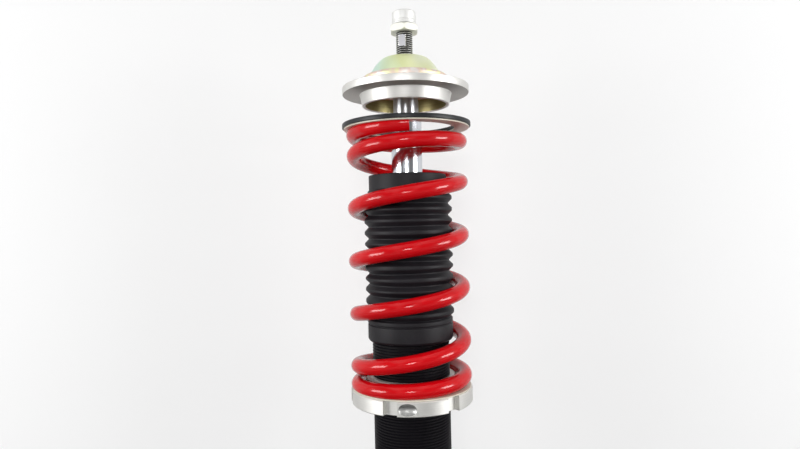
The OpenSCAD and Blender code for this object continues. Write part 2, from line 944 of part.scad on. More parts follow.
module brake_hose_tab() {
    eye_r = hose_hole_d / 2 + hose_margin;
    color("#303032")
        difference() {
            translate([0, 0, hose_z])
                linear_extrude(height = hose_t)
                    difference() {
                        union() {
                            translate([hose_reach, 0])
                                circle(r = eye_r);
                            translate([0, -eye_r])
                                square([hose_reach, 2 * eye_r]);
                        }
                        translate([hose_reach, 0])
                            circle(r = hose_hole_d / 2);
                    }
            translate([0, 0, hose_z - cut])
                cylinder(r = yoke_r, h = hose_t + 2 * cut);
        }
}

damping_knob();
adjuster_needle();
rod_lock_nut();
piston_rod();
bearing_cap();
upper_spring_seat();
spring_pad_ring();
upper_thrust_washer();
coil_spring();
bump_stop();
dust_boot();
thrust_washer();
spring_perch();
damper_case();
gland_nut();
wiper_seal();
rod_seal();
rod_guide();
guide_bush();
guide_o_ring();
rebound_stop();
compression_shims();
piston();
piston_band();
rebound_shims();
piston_nut();
inner_cylinder();
base_valve();
base_valve_shims();
case_end_cap();
bracket_lock_ring();
bracket_socket();
knuckle_yoke();
stabiliser_link_tab();
brake_hose_tab();
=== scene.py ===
"""Front strut coilover: its finishes, and the pieces that need a finer shape than the construction has."""
import json
import math

import bmesh
import bpy
from mathutils import Matrix, Vector


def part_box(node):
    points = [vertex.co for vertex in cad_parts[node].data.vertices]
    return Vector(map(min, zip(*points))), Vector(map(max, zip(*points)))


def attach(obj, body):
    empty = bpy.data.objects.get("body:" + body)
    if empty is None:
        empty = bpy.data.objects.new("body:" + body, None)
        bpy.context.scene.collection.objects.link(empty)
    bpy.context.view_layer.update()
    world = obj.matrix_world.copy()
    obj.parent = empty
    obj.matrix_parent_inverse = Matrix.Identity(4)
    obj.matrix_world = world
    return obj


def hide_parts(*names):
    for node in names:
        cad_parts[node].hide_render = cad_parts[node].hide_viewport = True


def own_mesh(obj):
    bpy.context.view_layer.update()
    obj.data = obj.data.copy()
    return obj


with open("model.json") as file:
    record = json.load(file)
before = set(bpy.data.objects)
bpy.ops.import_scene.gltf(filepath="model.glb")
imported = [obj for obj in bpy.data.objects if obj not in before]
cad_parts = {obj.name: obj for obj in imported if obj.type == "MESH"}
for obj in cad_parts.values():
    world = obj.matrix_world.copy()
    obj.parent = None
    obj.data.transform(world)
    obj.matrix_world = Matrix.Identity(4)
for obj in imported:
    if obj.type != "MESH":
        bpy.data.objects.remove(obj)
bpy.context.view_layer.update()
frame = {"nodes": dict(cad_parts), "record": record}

MM = 0.001
FRONT = -math.pi / 2
AXIS_UP = (0, 0, 1)


# ---------- sizes in millimetres, and angles in radians

# Room between pieces that slide, turn or screw on each other
CLEARANCE = 0.05

# What is nearer to the axis lies on it
ON_AXIS = 1e-6

# Points that are nearer, in metres, are one point: in a turned mesh, and in one that is copied or joined
SAME_POINT = 1e-7
MERGE = 2e-6

# Faces round the axis: of slim pieces, of most pieces and of the broad ones at the top
SLIM_FACES = 96
ROUND_FACES = 128
BROAD_FACES = 160

# Coil spring. The ramps are where the closed ends open, in turns from the top.
SPRING_INSIDE_D = 65.0
WIRE_D = 10.7
SPRING_TURNS = 6.3
CLOSED_PITCH = WIRE_D + 0.1
GROUND_REST = 1.2
TOP_RAMP = 1.1
BOTTOM_RAMP = SPRING_TURNS - 1.0
RAMP_TURNS = 0.5
TIP_ANGLE = FRONT + math.radians(2)
SPRING_RINGS = 680
WIRE_SIDES = 32

# Threads. Crest and root are flat over the same share of the pitch.
THREAD_DEPTH_SHARE = 0.54
FLAT_SHARE = 0.2
ROWS_PER_PITCH = 4

# Damper case
CASE_R = 27.5
CASE_PITCH = 2.0
CASE_WALL = 4.0
CASE_LAND = 3.0
CASE_CORNER = 0.4

# Piston rod and the stud on its top, with two spanner flats
ROD_R = 11.0
NECK_R = 9.0
NECK_LOW = -41.0
NECK_TAPER = 2.0
ROD_CORNER = 0.6
STEM_R = 6.0
STEM_LENGTH = 28.0
NEEDLE_BORE_R = 2.6
STUD_R = 6.0
STUD_PITCH = 1.5
STUD_CORNER = 0.3
STUD_THREAD_LOW = 0.4
STUD_LAND = 0.5
FLAT_CUT = 0.65
FLAT_TURN = math.radians(-19)
FLAT_LENGTH = 8.7
FLAT_BELOW_NUT = 2.0

# Dust boot
BOOT_BORE = CASE_R + CLEARANCE
BOOT_WALL = 1.4
RIB_COUNT = 11
RIB_PITCH = 8.06
RIB_TIP_R = 31.5
RIB_VALLEY_R = 28.8
RIB_BEND_R = 1.5
RIB_TIP_FLAT = 2.0
RIB_VALLEY_FLAT = 0.7
LOWER_CUFF_H = 16.0
LOWER_CUFF_WALL = 2.9
CUFF_CORNER = 0.8
CUFF_SLOPE = 0.2
CUFF_FOOT_IN = 1.0
CUFF_FOOT_UP = 1.5
LIP_BELOW_RIBS = 4.0
LIP_DEPTH = 0.7
UPPER_CUFF_R = 27.8
UPPER_CUFF_H = 10.5
UPPER_CUFF_STEP = 0.6
SAG = 0.45
SAG_TURN_PER_RIB = 1.9
WAVE = 0.2

# Bump stop
BUMP_CLEARANCE = 0.3
BUMP_WAISTS = 3
BUMP_WAIST_DEPTH = 3.0
BUMP_WAIST_HALF_H = 2.0
BUMP_FOOT_H = 6.0
BUMP_CORNER = 1.2

# Upper seat
PLATE_R = 45.3
BOSS_ROOT_R = 32.9
BOSS_TIP_R = 31.2
BOSS_BORE_R = 29.0
BOSS_DROP = 8.0
SEAT_CORNER = 0.5

# Bearing cap. The crown's outline is given by radius and drop.
CAP_SHEET = 2.5
CAP_CROWN = [(13.0, 0.0), (16.2, 0.55), (19.0, 2.9), (21.6, 5.9), (23.7, 9.0), (25.2, 11.3)]
CAP_HOLE_R = STUD_R + 2 * CLEARANCE
CAP_LIP_R = 28.95
CAP_LIP_DROP = 3.0
CAP_BEAD_R = 31.05
CAP_BEAD_H = 7.5
CAP_BEAD_BEND = 3.0
CAP_BEAD_ROOT_BEND = 1.0
CAP_BEAD_ROOT_OUT = 1.0
CAP_LIP_TAPER = 0.3
CAP_LIP_TAPER_H = 2.0
CAP_BEND = 0.8
CAP_INSIDE_DOWN = 0.85 * CAP_SHEET
CAP_ROLL_TOP = -12.0

# Damping dial. Its two grooves are placed by their share of its height.
DIAL_BEVEL = 0.7
DIAL_GROOVES = (0.36, 0.2)
DIAL_GROOVE = 0.25
DIAL_SOCKET_H = 6.0
DIAL_CORNER = 0.35
DIAL_UNDERCUT = 1.4
DIAL_FOOT_H = 0.7
DIAL_FOOT_SLOPE = 0.1

# Spring perch, and the scoop in its rim
PERCH_RIM_H = 10.0
NOTCH_FLOOR_R = 41.0
SCOOP_TURN = math.radians(-5)
SCOOP_HALF_ANGLE = math.radians(9)
SCOOP_HEIGHT = 8.0
SCOOP_DEPTH = 2.3

# Loose rings under and over the spring
RING_BORE_R = 34.5
LOWER_RING_BORE_R = 32.8
RING_CORNER = 0.4
WASHER_CORNER = 0.15

# Lower bracket and its weld beads
SOCKET_R = 33.0
SOCKET_CORNER = 1.0
YOKE_R = 38.0
FRONT_RELIEF = 16.0
YOKE_WELD_R = 1.7
TAB_WELD_R = 1.3
WELD_SIDES = 10
RIPPLE_LENGTH = 2.2
RINGS_PER_RIPPLE = 6
RIPPLE_WAIST = 0.82
RIPPLE_SWELL = 0.22

# How far a face's normal points down, and out from the axis
FACING_DOWN = -0.9
FACING_OUT = 0.97

# Camera. Its focal length is a share of the frame's width.
EYE_Z = -119.0
EYE_X = -6.0
EYE_DISTANCE = 432.0
CAMERA_ROLL = math.radians(-1.27)
FOCAL_SHARE = 600 / 800

# From the bracket's foot to the floor
FLOOR_GAP = 0.5

# Lamps: azimuth and elevation in degrees, width and height in metres, and watts
LAMPS = {
    "left_box": (-65, 4, 0.5, 0.35, 6.0),
    "right_box": (66, 4, 0.42, 0.35, 6.2),
    "front_box": (-4, 8, 0.24, 0.2, 2.4),
    "ceiling": (0, 66, 1.6, 1.0, 2.8),
}


# ---------- helpers for nodes

MATH = "ShaderNodeMath"
NOISE = "ShaderNodeTexNoise"
RAMP = "ShaderNodeValToRGB"
RANGE = "ShaderNodeMapRange"
BUMP = "ShaderNodeBump"
SPLIT = "ShaderNodeSeparateXYZ"

# Every finish by its name
MATERIALS = {}


def linear(hex_colour):
    """Turns an sRGB hex colour such as "C0121A" to the linear values that a node takes."""
    channels = [int(hex_colour[i:i + 2], 16) / 255 for i in (0, 2, 4)]
    return tuple(c / 12.92 if c <= 0.04045 else ((c + 0.055) / 1.055) ** 2.4 for c in channels) + (1.0,)


def fill(tree, node, sockets):
    """Fills a node's inputs, given by name or in order, with values or with links.

    A node that is given as a value stands for its first output.
    """
    given = sockets if isinstance(sockets, dict) else dict(enumerate(sockets))
    for key, value in given.items():
        if isinstance(value, bpy.types.Node):
            value = value.outputs[0]
        if isinstance(value, bpy.types.NodeSocket):
            tree.links.new(value, node.inputs[key])
        else:
            node.inputs[key].default_value = value


def add(tree, kind, sockets=(), stops=(), **settings):
    """Adds a node, sets its fields, fills its inputs and gives a colour ramp its stops."""
    made = tree.nodes.new(kind)
    for field, value in settings.items():
        setattr(made, field, value)
    for i, (place, colour) in enumerate(stops):
        element = made.color_ramp.elements[i] if i < 2 else made.color_ramp.elements.new(place)
        element.position = place
        element.color = linear(colour)
    fill(tree, made, sockets)
    return made


def new_material(name):
    """Starts a material kept by its name. Returns its tree, its shader and the piece's own coordinates."""
    MATERIALS[name] = bpy.data.materials.new(name)
    MATERIALS[name].use_nodes = True
    tree = MATERIALS[name].node_tree
    tree.nodes.clear()
    shader = add(tree, "ShaderNodeBsdfPrincipled")
    add(tree, "ShaderNodeOutputMaterial", {"Surface": shader})
    return tree, shader, add(tree, "ShaderNodeTexCoord").outputs["Object"]


def from_axis(tree, place):
    """Returns how far a point lies from the damper's axis, and its height."""
    split = add(tree, SPLIT, [place]).outputs
    flat = add(tree, "ShaderNodeCombineXYZ", [split[0], split[1]])
    reach = add(tree, "ShaderNodeVectorMath", [flat], operation="LENGTH").outputs["Value"]
    return reach, split[2]


# ---------- materials

def powder_coat():
    """Gloss red polyester powder coat on spring steel: deep colour under a clear, slightly rippled skin."""
    tree, shader, place = new_material("red_powder_coat")
    ripple = add(tree, NOISE, {"Vector": place, "Scale": 1 / (2.4 * MM), "Detail": 2.0})
    patches = add(tree, NOISE, {"Vector": place, "Scale": 1 / (25 * MM), "Detail": 3.0})
    colour = add(tree, RAMP, {"Fac": patches}, [(0.3, "C4040F"), (0.7, "D20611")])
    relief = add(tree, BUMP, {"Height": ripple, "Distance": 0.003 * MM})
    fill(tree, shader, {
        "Base Color": colour, "Roughness": 0.5, "IOR": 1.5, "Specular IOR Level": 0.0,
        "Coat Weight": 1.0, "Coat Roughness": 0.14, "Coat IOR": 1.38, "Normal": relief,
    })


def boot_rubber():
    """Moulded EPDM rubber: nearly black, with a soft sheen and a little dust caught in its skin.

    Its fine grain is drawn as coarse as it needs to show.
    """
    tree, shader, place = new_material("boot_rubber")
    dust = add(tree, NOISE, {"Vector": place, "Scale": 1 / (14 * MM), "Detail": 6.0, "Roughness": 0.7})
    grain = add(tree, NOISE, {"Vector": place, "Scale": 1 / (0.5 * MM), "Detail": 2.0})
    colour = add(tree, RAMP, {"Fac": dust}, [(0.35, "110F13"), (0.72, "1B191E")])
    rough = add(tree, RANGE, {"Value": dust, "To Min": 0.45, "To Max": 0.6})
    relief = add(tree, BUMP, {"Height": grain, "Distance": 0.02 * MM})
    fill(tree, shader, {
        "Base Color": colour, "Roughness": rough, "IOR": 1.45,
        "Specular IOR Level": 0.3, "Normal": relief,
    })


def turned_metal(name, dark, light, roughness, groove_mm, groove_depth_mm, brushed=0.0):
    """Metal off the lathe: rings round the axis, on its faces and its rims alike, and a faint cloudiness.

    Real tool marks are finer than a pixel, so the rings are drawn as coarse as they need to show.
    """
    tree, shader, place = new_material(name)
    reach, height = from_axis(tree, place)
    along = add(tree, MATH, [reach, height], operation="ADD")
    rings = add(tree, NOISE, {"W": along, "Scale": 1 / (groove_mm * MM), "Detail": 3.0},
                noise_dimensions="1D")
    cloud = add(tree, NOISE, {"Vector": place, "Scale": 1 / (18 * MM), "Detail": 4.0})
    mixed = add(tree, MATH, [rings, cloud], operation="MULTIPLY")
    colour = add(tree, RAMP, {"Fac": mixed}, [(0.1, dark), (0.45, light)])
    rough = add(tree, RANGE, {"Value": rings, "To Min": roughness * 0.85, "To Max": roughness * 1.15})
    relief = add(tree, BUMP, {"Height": rings, "Distance": groove_depth_mm * MM})
    tangent = add(tree, "ShaderNodeTangent", direction_type="RADIAL", axis="Z")
    fill(tree, shader, {
        "Base Color": colour, "Roughness": rough, "Metallic": 1.0,
        "Anisotropic": brushed, "Anisotropic Rotation": 0.25, "Tangent": tangent, "Normal": relief,
    })


def hard_chrome():
    """Ground and hard-chromed rod: a near mirror with the faintest cloud."""
    tree, shader, place = new_material("hard_chrome")
    cloud = add(tree, NOISE, {"Vector": place, "Scale": 1 / (30 * MM), "Detail": 3.0})
    rough = add(tree, RANGE, {"Value": cloud, "To Min": 0.13, "To Max": 0.17})
    fill(tree, shader, {"Base Color": linear("DFE2E8"), "Metallic": 1.0, "Roughness": rough})


def yellow_zinc():
    """Yellow chromate on zinc plate: a thin film, from mint to straw on the dome, and whitish pink bands on
    its roll that are a painted reflection.
    """
    tree, shader, place = new_material("yellow_zinc")
    drift = add(tree, NOISE, {"Vector": place, "Scale": 1 / (40 * MM), "Detail": 1.0, "Distortion": 0.4})
    split = add(tree, SPLIT, [place]).outputs
    side = add(tree, RANGE, {
        "Value": split[0], "From Min": -30 * MM, "From Max": 30 * MM, "To Min": -0.42, "To Max": 0.42,
    })
    film = add(tree, MATH, [drift, side], operation="ADD")
    crown = add(tree, RAMP, {"Fac": film},
                [(0.1, "D6F6F4"), (0.3, "DFF7E4"), (0.5, "EEF4BC"), (0.7, "F2F6C8"), (0.95, "F5FAE4")])
    bands = add(tree, NOISE, {"Vector": place, "Scale": 1 / (7 * MM), "Detail": 1.0})
    # Painted reflection: the roll is banded whitish pink
    roll = add(tree, RAMP, {"Fac": bands}, [(0.38, "F6EEE8"), (0.5, "F0D8CC"), (0.62, "F2EEC0")])
    rolled = add(tree, RANGE, {
        "Value": split[2], "From Min": (CAP_ROLL_TOP - 1.5) * MM, "From Max": CAP_ROLL_TOP * MM,
        "To Min": 1.0, "To Max": 0.0,
    })
    colour = add(tree, "ShaderNodeMix", {0: rolled, 6: crown, 7: roll}, data_type="RGBA")
    fill(tree, shader, {"Base Color": colour.outputs[2], "Metallic": 1.0, "Roughness": 0.45})


def plain_finish(name, dark, light, roughness, metallic=0.0, grain_mm=0.8, depth_mm=0.02, gloss=0.5):
    """A plain moulded, painted or cast surface: one colour with a little cloudiness and grain.

    Real grain is finer than a pixel, so it is drawn as coarse as it needs to show.
    """
    tree, shader, place = new_material(name)
    cloud = add(tree, NOISE, {"Vector": place, "Scale": 1 / (20 * MM), "Detail": 4.0})
    grain = add(tree, NOISE, {"Vector": place, "Scale": 1 / (grain_mm * MM), "Detail": 2.0})
    colour = add(tree, RAMP, {"Fac": cloud}, [(0.3, dark), (0.65, light)])
    rough = add(tree, RANGE, {"Value": cloud, "To Min": roughness * 0.85, "To Max": roughness * 1.15})
    relief = add(tree, BUMP, {"Height": grain, "Distance": depth_mm * MM})
    fill(tree, shader, {
        "Base Color": colour, "Roughness": rough, "Metallic": metallic,
        "Specular IOR Level": gloss, "Normal": relief,
    })


def rubbed_thread():
    """Rolled steel thread: painted highlights on its crests, and painted shade darkening its roots."""
    tree, shader, place = new_material("rubbed_thread")
    reach = from_axis(tree, place)[0]
    root = STUD_R - THREAD_DEPTH_SHARE * STUD_PITCH
    rise = add(tree, RANGE, {"Value": reach, "From Min": root * MM, "From Max": STUD_R * MM})
    # Painted shade in the roots and painted highlight on the crests
    colour = add(tree, RAMP, {"Fac": rise}, [(0.45, "3C3C3A"), (0.9, "D2D2CE")])
    rough = add(tree, RANGE, {"Value": rise, "To Min": 0.5, "To Max": 0.25})
    fill(tree, shader, {"Base Color": colour, "Metallic": 1.0, "Roughness": rough})


powder_coat()
boot_rubber()
hard_chrome()
yellow_zinc()
rubbed_thread()
# Aluminium off the lathe, silky: its rings draw the highlights out
turned_metal("turned_alloy", "DEDDD9", "EAE9E5", 0.48, 0.5, 0.003, brushed=0.35)
# The seat's underside, faced with a coarser cut, and greyer as painted shade under the plate
turned_metal("faced_alloy", "8E8A86", "A29E98", 0.42, 0.8, 0.006, brushed=0.3)
# The dish that a milling cutter leaves in the perch: smooth, and greyer than the rim as painted shade in
# the hollow
turned_metal("scooped_alloy", "A6A6A4", "BCBCBA", 0.42, 0.4, 0.002)
# Satin anodised aluminium: pale and soft
turned_metal("dial_alloy", "DEDEDC", "EAEAE8", 0.6, 0.4, 0.004)
# Bright zinc plate: pale and a little warm
turned_metal("zinc_steel", "D8D8D0", "E6E6DE", 0.6, 0.6, 0.004)
# Ground steel: highlights drawn out far along the grinding
turned_metal("ground_neck", "D4D6DA", "E2E4E8", 0.32, 1.2, 0.001, brushed=0.9)
# The seat's bore: dull olive gold, painted shade in the hollow with a painted reflection of the yellow cap
turned_metal("olive_zinc", "887E58", "A8A072", 0.42, 1.5, 0.01, brushed=0.6)
# Bare steel with a film of oil: grey and rather shiny
turned_metal("plain_steel", "8C8D90", "A9AAAD", 0.3, 0.6, 0.008)
# Bushes of turned bronze: brown gold
turned_metal("bronze", "A07A48", "B98C58", 0.3, 0.5, 0.008)
# Turned brass: bright yellow
turned_metal("brass_needle", "BA9850", "D2B068", 0.25, 0.5, 0.005)
# Milled steel flats: even and light
plain_finish("milled_flat", "BCBCC2", "C8C8CC", 0.5, metallic=1.0, grain_mm=0.6, depth_mm=0.01)
# Pressed and sintered iron: even mid grey
plain_finish("sintered_steel", "646568", "76777A", 0.45, metallic=1.0)
# Moulded nylon with glass in it: black with a soft sheen
plain_finish("black_nylon", "181A1D", "1E2124", 0.42, gloss=0.3)
# Moulded nylon without colour: cream
plain_finish("cream_nylon", "CAC4B4", "D6D0C0", 0.4)
# Foamed urethane: matt yellow with an open grain
plain_finish("urethane", "B8943E", "C9A54C", 0.6, grain_mm=1.0, depth_mm=0.1)
# Black oxide with a dry film on it: nearly black and almost without gloss
plain_finish("black_coated_steel", "0F0D11", "131115", 0.48, gloss=0.14)
# Black paint on pressed steel: smooth, with a slight orange peel
plain_finish("black_painted_steel", "151517", "1A1A1C", 0.32, grain_mm=1.5, depth_mm=0.03)
# Moulded nitrile rubber: dark and dull
plain_finish("seal_rubber", "161617", "1D1D1E", 0.4)
# Filled bearing tape: brown and waxy
plain_finish("brown_band", "4C301D", "5A3A24", 0.5)

# The record's slots whose finish has another name here
SLOT_FINISH = {"chromed_rod": "hard_chrome", "yellow_zinc_steel": "yellow_zinc"}


def finish_of(slot):
    """The material that stands for one of the record's material slots."""
    return MATERIALS[SLOT_FINISH.get(slot, slot)]


# ---------- helpers for meshes and pieces

def box_mm(node):
    """Lowest and highest corners of a CAD node at rest, in millimetres."""
    low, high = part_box(node)
    return [c / MM for c in low], [c / MM for c in high]


def new_object(name, data):
    """Puts an object in the scene."""
    made = bpy.data.objects.new(name, data)
    bpy.context.scene.collection.objects.link(made)
    return made


def new_piece(name, mesh, body, slot, replaced=()):
    """Wraps a mesh as a piece of the object that rides on a body and takes the place of CAD nodes."""
    piece = new_object(name, mesh)
    if not mesh.materials:
        mesh.materials.append(finish_of(slot))
    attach(piece, body)
    if replaced:
        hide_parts(*replaced)
    return piece


def coat(piece, finish, chosen):
    """Gives another finish to the faces that a test picks by how far out and how high they lie."""
    mesh = piece.data
    mesh.materials.append(MATERIALS[finish])
    for face in mesh.polygons:
        if chosen(face, face.center.xy.length / MM, face.center.z / MM):
            face.material_index = len(mesh.materials) - 1


def shade(mesh, sharp_degrees=35):
    """Smooth shading, with edges kept sharp where the surface turns by more than the angle."""
    mesh.shade_smooth()
    mesh.set_sharp_from_angle(angle=math.radians(sharp_degrees))


def mesh_of(made, name, sharp_degrees=35):
    """Turns the shape under construction to a shaded mesh."""
    mesh = bpy.data.meshes.new(name)
    made.to_mesh(mesh)
    made.free()
    shade(mesh, sharp_degrees)
    return mesh


def rounded(outline, radius, steps=3):
    """Rounds each corner of a closed outline in millimetres, as far as its neighbours leave room.

    A corner with a third number has that radius, and any other corner has the one that is given.
    """
    room_share = 0.45
    straight = math.radians(5)
    made = []
    for i, corner in enumerate(outline):
        before = Vector(outline[i - 1][:2])
        here = Vector(corner[:2])
        after = Vector(outline[(i + 1) % len(outline)][:2])
        into = (here - before).normalized()
        out = (after - here).normalized()
        turn = into.angle(out)
        if here.x < ON_AXIS or turn < straight:
            made.append(tuple(here))
            continue
        own_radius = corner[2] if len(corner) > 2 else radius
        room = room_share * min((here - before).length, (after - here).length)
        setback = min(own_radius * math.tan(turn / 2), room)
        start = here - into * setback
        end = here + out * setback
        for step in range(steps + 1):
            t = step / steps
            point = start * (1 - t) ** 2 + here * 2 * t * (1 - t) + end * t ** 2
            made.append(tuple(point))
    return made


def lathe(outline, faces=ROUND_FACES, sag=None, closed=True):
    """Turns an outline of (radius, height) points in millimetres round Z, closed or left open."""
    made = bmesh.new()
    rows = []
    for i in range(faces):
        angle = 2 * math.pi * i / faces
        row = []
        for radius, height in outline:
            lift = sag(angle, height) if sag else 0.0
            place = (radius * math.cos(angle) * MM, radius * math.sin(angle) * MM, (height + lift) * MM)
            row.append(made.verts.new(place))
        rows.append(row)
    count = len(outline)
    for i, here in enumerate(rows):
        beside = rows[(i + 1) % faces]
        for k in range(count if closed else count - 1):
            n = (k + 1) % count
            if max(outline[k][0], outline[n][0]) > ON_AXIS:
                made.faces.new((here[k], beside[k], beside[n], here[n]))
    bmesh.ops.remove_doubles(made, verts=made.verts, dist=SAME_POINT)
    bmesh.ops.recalc_face_normals(made, faces=made.faces)
    return mesh_of(made, "turned")


def copy_of_node(node):
    """A merged copy of a CAD node's mesh, with its flat faces joined up."""
    source = frame["nodes"][node]
    made = bmesh.new()
    made.from_mesh(source.data)
    made.transform(source.matrix_world)
    bmesh.ops.remove_doubles(made, verts=made.verts, dist=MERGE)
    bmesh.ops.dissolve_limit(made, angle_limit=math.radians(1), verts=made.verts, edges=made.edges)
    return mesh_of(made, node + "_copy")


def add_modifier(piece, kind, **settings):
    """Adds a modifier and sets its fields."""
    made = piece.modifiers.new(kind.title(), kind)
    for field, value in settings.items():
        setattr(made, field, value)


def machined_copy(name, node, body, slot, edge_mm, segments=2):
    """A piece with its CAD node's own shape, whose hard edges are broken as a tool leaves them."""
    piece = new_piece(name, copy_of_node(node), body, slot, [node])
    add_modifier(piece, "BEVEL", width=edge_mm * MM, segments=segments, limit_method="ANGLE",
                 angle_limit=math.radians(35), harden_normals=False)
    add_modifier(piece, "WEIGHTED_NORMAL", keep_sharp=True, weight=60)
    return piece


# ---------- helpers for Geometry Nodes

def new_tree(name, **inputs):
    """Starts a tree with named inputs of each kind, and returns it with the sockets that give them."""
    tree = bpy.data.node_groups.new(name, "GeometryNodeTree")
    tree.interface.new_socket("Geometry", in_out="OUTPUT", socket_type="NodeSocketGeometry")
    for kind, labels in inputs.items():
        for label in labels:
            tree.interface.new_socket(label, in_out="INPUT", socket_type="NodeSocket" + kind)
    return tree, add(tree, "NodeGroupInput").outputs


def counted_line(tree, count):
    """A straight curve with a count of even points, and how far along it each lies, from 0 to 1."""
    line = add(tree, "GeometryNodeCurvePrimitiveLine", {"End": (0, 0, 1)})
    points = add(tree, "GeometryNodeResampleCurve", {"Curve": line, "Count": count})
    return points, add(tree, "GeometryNodeSplineParameter")


def round_z(tree, angle, radius):
    """The X and the Y of a point at an angle round Z."""
    flat = []
    for side in ("COSINE", "SINE"):
        share = add(tree, MATH, [angle], operation=side)
        flat.append(add(tree, MATH, [share, radius], operation="MULTIPLY"))
    return flat


def moved(tree, shape, x, y, z):
    """The shape with its points at new places."""
    place = add(tree, "ShaderNodeCombineXYZ", [x, y, z])
    return add(tree, "GeometryNodeSetPosition", {"Geometry": shape, "Position": place})


def round_bar(tree, path, radius, sides):
    """A round bar along a path, closed at both ends."""
    section = add(tree, "GeometryNodeCurvePrimitiveCircle", {"Resolution": sides, "Radius": radius})
    return add(tree, "GeometryNodeCurveToMesh",
               {"Curve": path, "Profile Curve": section, "Fill Caps": True})


def end_tree(tree, shape, material):
    """Ends a tree with real geometry in its material."""
    real = add(tree, "GeometryNodeRealizeInstances", [shape])
    coated = add(tree, "GeometryNodeSetMaterial", {"Geometry": real, "Material": material})
    add(tree, "NodeGroupOutput", [coated])
    return tree


def grow(tree, name, **inputs):
    """Runs a Geometry Nodes tree on an empty mesh and returns what it makes as a plain mesh."""
    seed = new_object(name + "_seed", bpy.data.meshes.new(name + "_seed"))
    modifier = seed.modifiers.new("Grow", "NODES")
    modifier.node_group = tree
    for item in tree.interface.items_tree:
        if item.item_type == "SOCKET" and item.in_out == "INPUT":
            modifier[item.identifier] = inputs[item.name.replace(" ", "_").lower()]
    seed.update_tag()
    evaluated = seed.evaluated_get(bpy.context.evaluated_depsgraph_get())
    mesh = bpy.data.meshes.new_from_object(evaluated)
    bpy.data.objects.remove(seed)
    return mesh


# ---------- coil spring

def spring_tree():
    """Geometry Nodes for a cylindrical spring with one closed, ground turn at each end.

    A straight line of points is wound round Z. Its height falls by the closed pitch, and between the two
    end turns by an extra pitch that eases in and out over Ramp Turns.
    """
    tree, given = new_tree(
        "closed_and_ground_spring",
        Float=("Coil Radius", "Wire Radius", "Turns", "Closed Pitch", "Extra Pitch", "Ramp Turns",
               "Top Ramp", "Bottom Ramp", "Wire Top", "Ground Top", "Ground Bottom", "Tip Angle"),
        Int=("Rings", "Sides"),
        Material=("Material",),
    )
    points, along = counted_line(tree, given["Rings"])
    turn = add(tree, MATH, [along, given["Turns"]], operation="MULTIPLY")
    ramp = given["Ramp Turns"]
    half_ramp = add(tree, MATH, [ramp, 0.5], operation="MULTIPLY")

    # Turns past each ramp: the smooth start is u * u * u * (1 - u / 2), and what lies beyond is straight.
    eased = []
    for middle in ("Top Ramp", "Bottom Ramp"):
        past = add(tree, MATH, [turn, given[middle]], operation="SUBTRACT")
        scaled = add(tree, MATH, [past, ramp], operation="DIVIDE")
        u = add(tree, MATH, [scaled, 0.5], operation="ADD", use_clamp=True)
        cube = add(tree, MATH, [u, 3.0], operation="POWER")
        rest = add(tree, MATH, [u, -0.5, 1.0], operation="MULTIPLY_ADD")
        curve = add(tree, MATH, [cube, rest], operation="MULTIPLY")
        start = add(tree, MATH, [curve, ramp], operation="MULTIPLY")
        beyond = add(tree, MATH, [past, half_ramp], operation="SUBTRACT")
        straight = add(tree, MATH, [beyond, 0.0], operation="MAXIMUM")
        eased.append(add(tree, MATH, [start, straight], operation="ADD"))

    opened = add(tree, MATH, eased, operation="SUBTRACT")
    closed_drop = add(tree, MATH, [turn, given["Closed Pitch"]], operation="MULTIPLY")
    open_drop = add(tree, MATH, [opened, given["Extra Pitch"]], operation="MULTIPLY")
    drop = add(tree, MATH, [closed_drop, open_drop], operation="ADD")
    height = add(tree, MATH, [given["Wire Top"], drop], operation="SUBTRACT")
    swept = add(tree, MATH, [turn, 2 * math.pi], operation="MULTIPLY")
    angle = add(tree, MATH, [given["Tip Angle"], swept], operation="SUBTRACT")
    x, y = round_z(tree, angle, given["Coil Radius"])
    path = moved(tree, points, x, y, height)
    wire = round_bar(tree, path, given["Wire Radius"], given["Sides"])

    skin = add(tree, "GeometryNodeInputPosition")
    split = add(tree, SPLIT, [skin]).outputs
    below = add(tree, MATH, [split[2], given["Ground Top"]], operation="MINIMUM")
    kept = add(tree, MATH, [below, given["Ground Bottom"]], operation="MAXIMUM")
    return end_tree(tree, moved(tree, wire, split[0], split[1], kept), given["Material"])


def coil_spring():
    """The red spring, wound by its tree between the two ground planes of the CAD spring."""
    low, high = box_mm("coil_spring")
    length = high[2] - low[2]
    drop = length - 2 * GROUND_REST
    extra = (drop - CLOSED_PITCH * SPRING_TURNS) / (BOTTOM_RAMP - TOP_RAMP)
    mesh = grow(
        spring_tree(), "coil_spring",
        coil_radius=(SPRING_INSIDE_D + WIRE_D) / 2 * MM, wire_radius=WIRE_D / 2 * MM, turns=SPRING_TURNS,
        closed_pitch=CLOSED_PITCH * MM, extra_pitch=extra * MM, ramp_turns=RAMP_TURNS,
        top_ramp=TOP_RAMP, bottom_ramp=BOTTOM_RAMP, wire_top=(high[2] - GROUND_REST) * MM,
        ground_top=high[2] * MM, ground_bottom=low[2] * MM, tip_angle=TIP_ANGLE,
        rings=SPRING_RINGS, sides=WIRE_SIDES, material=MATERIALS["red_powder_coat"],
    )
    shade(mesh, sharp_degrees=50)
    piece = new_piece("wound_spring", mesh, "spring_stack", "red_powder_coat", ["coil_spring"])
    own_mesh(piece)


# ---------- dust boot

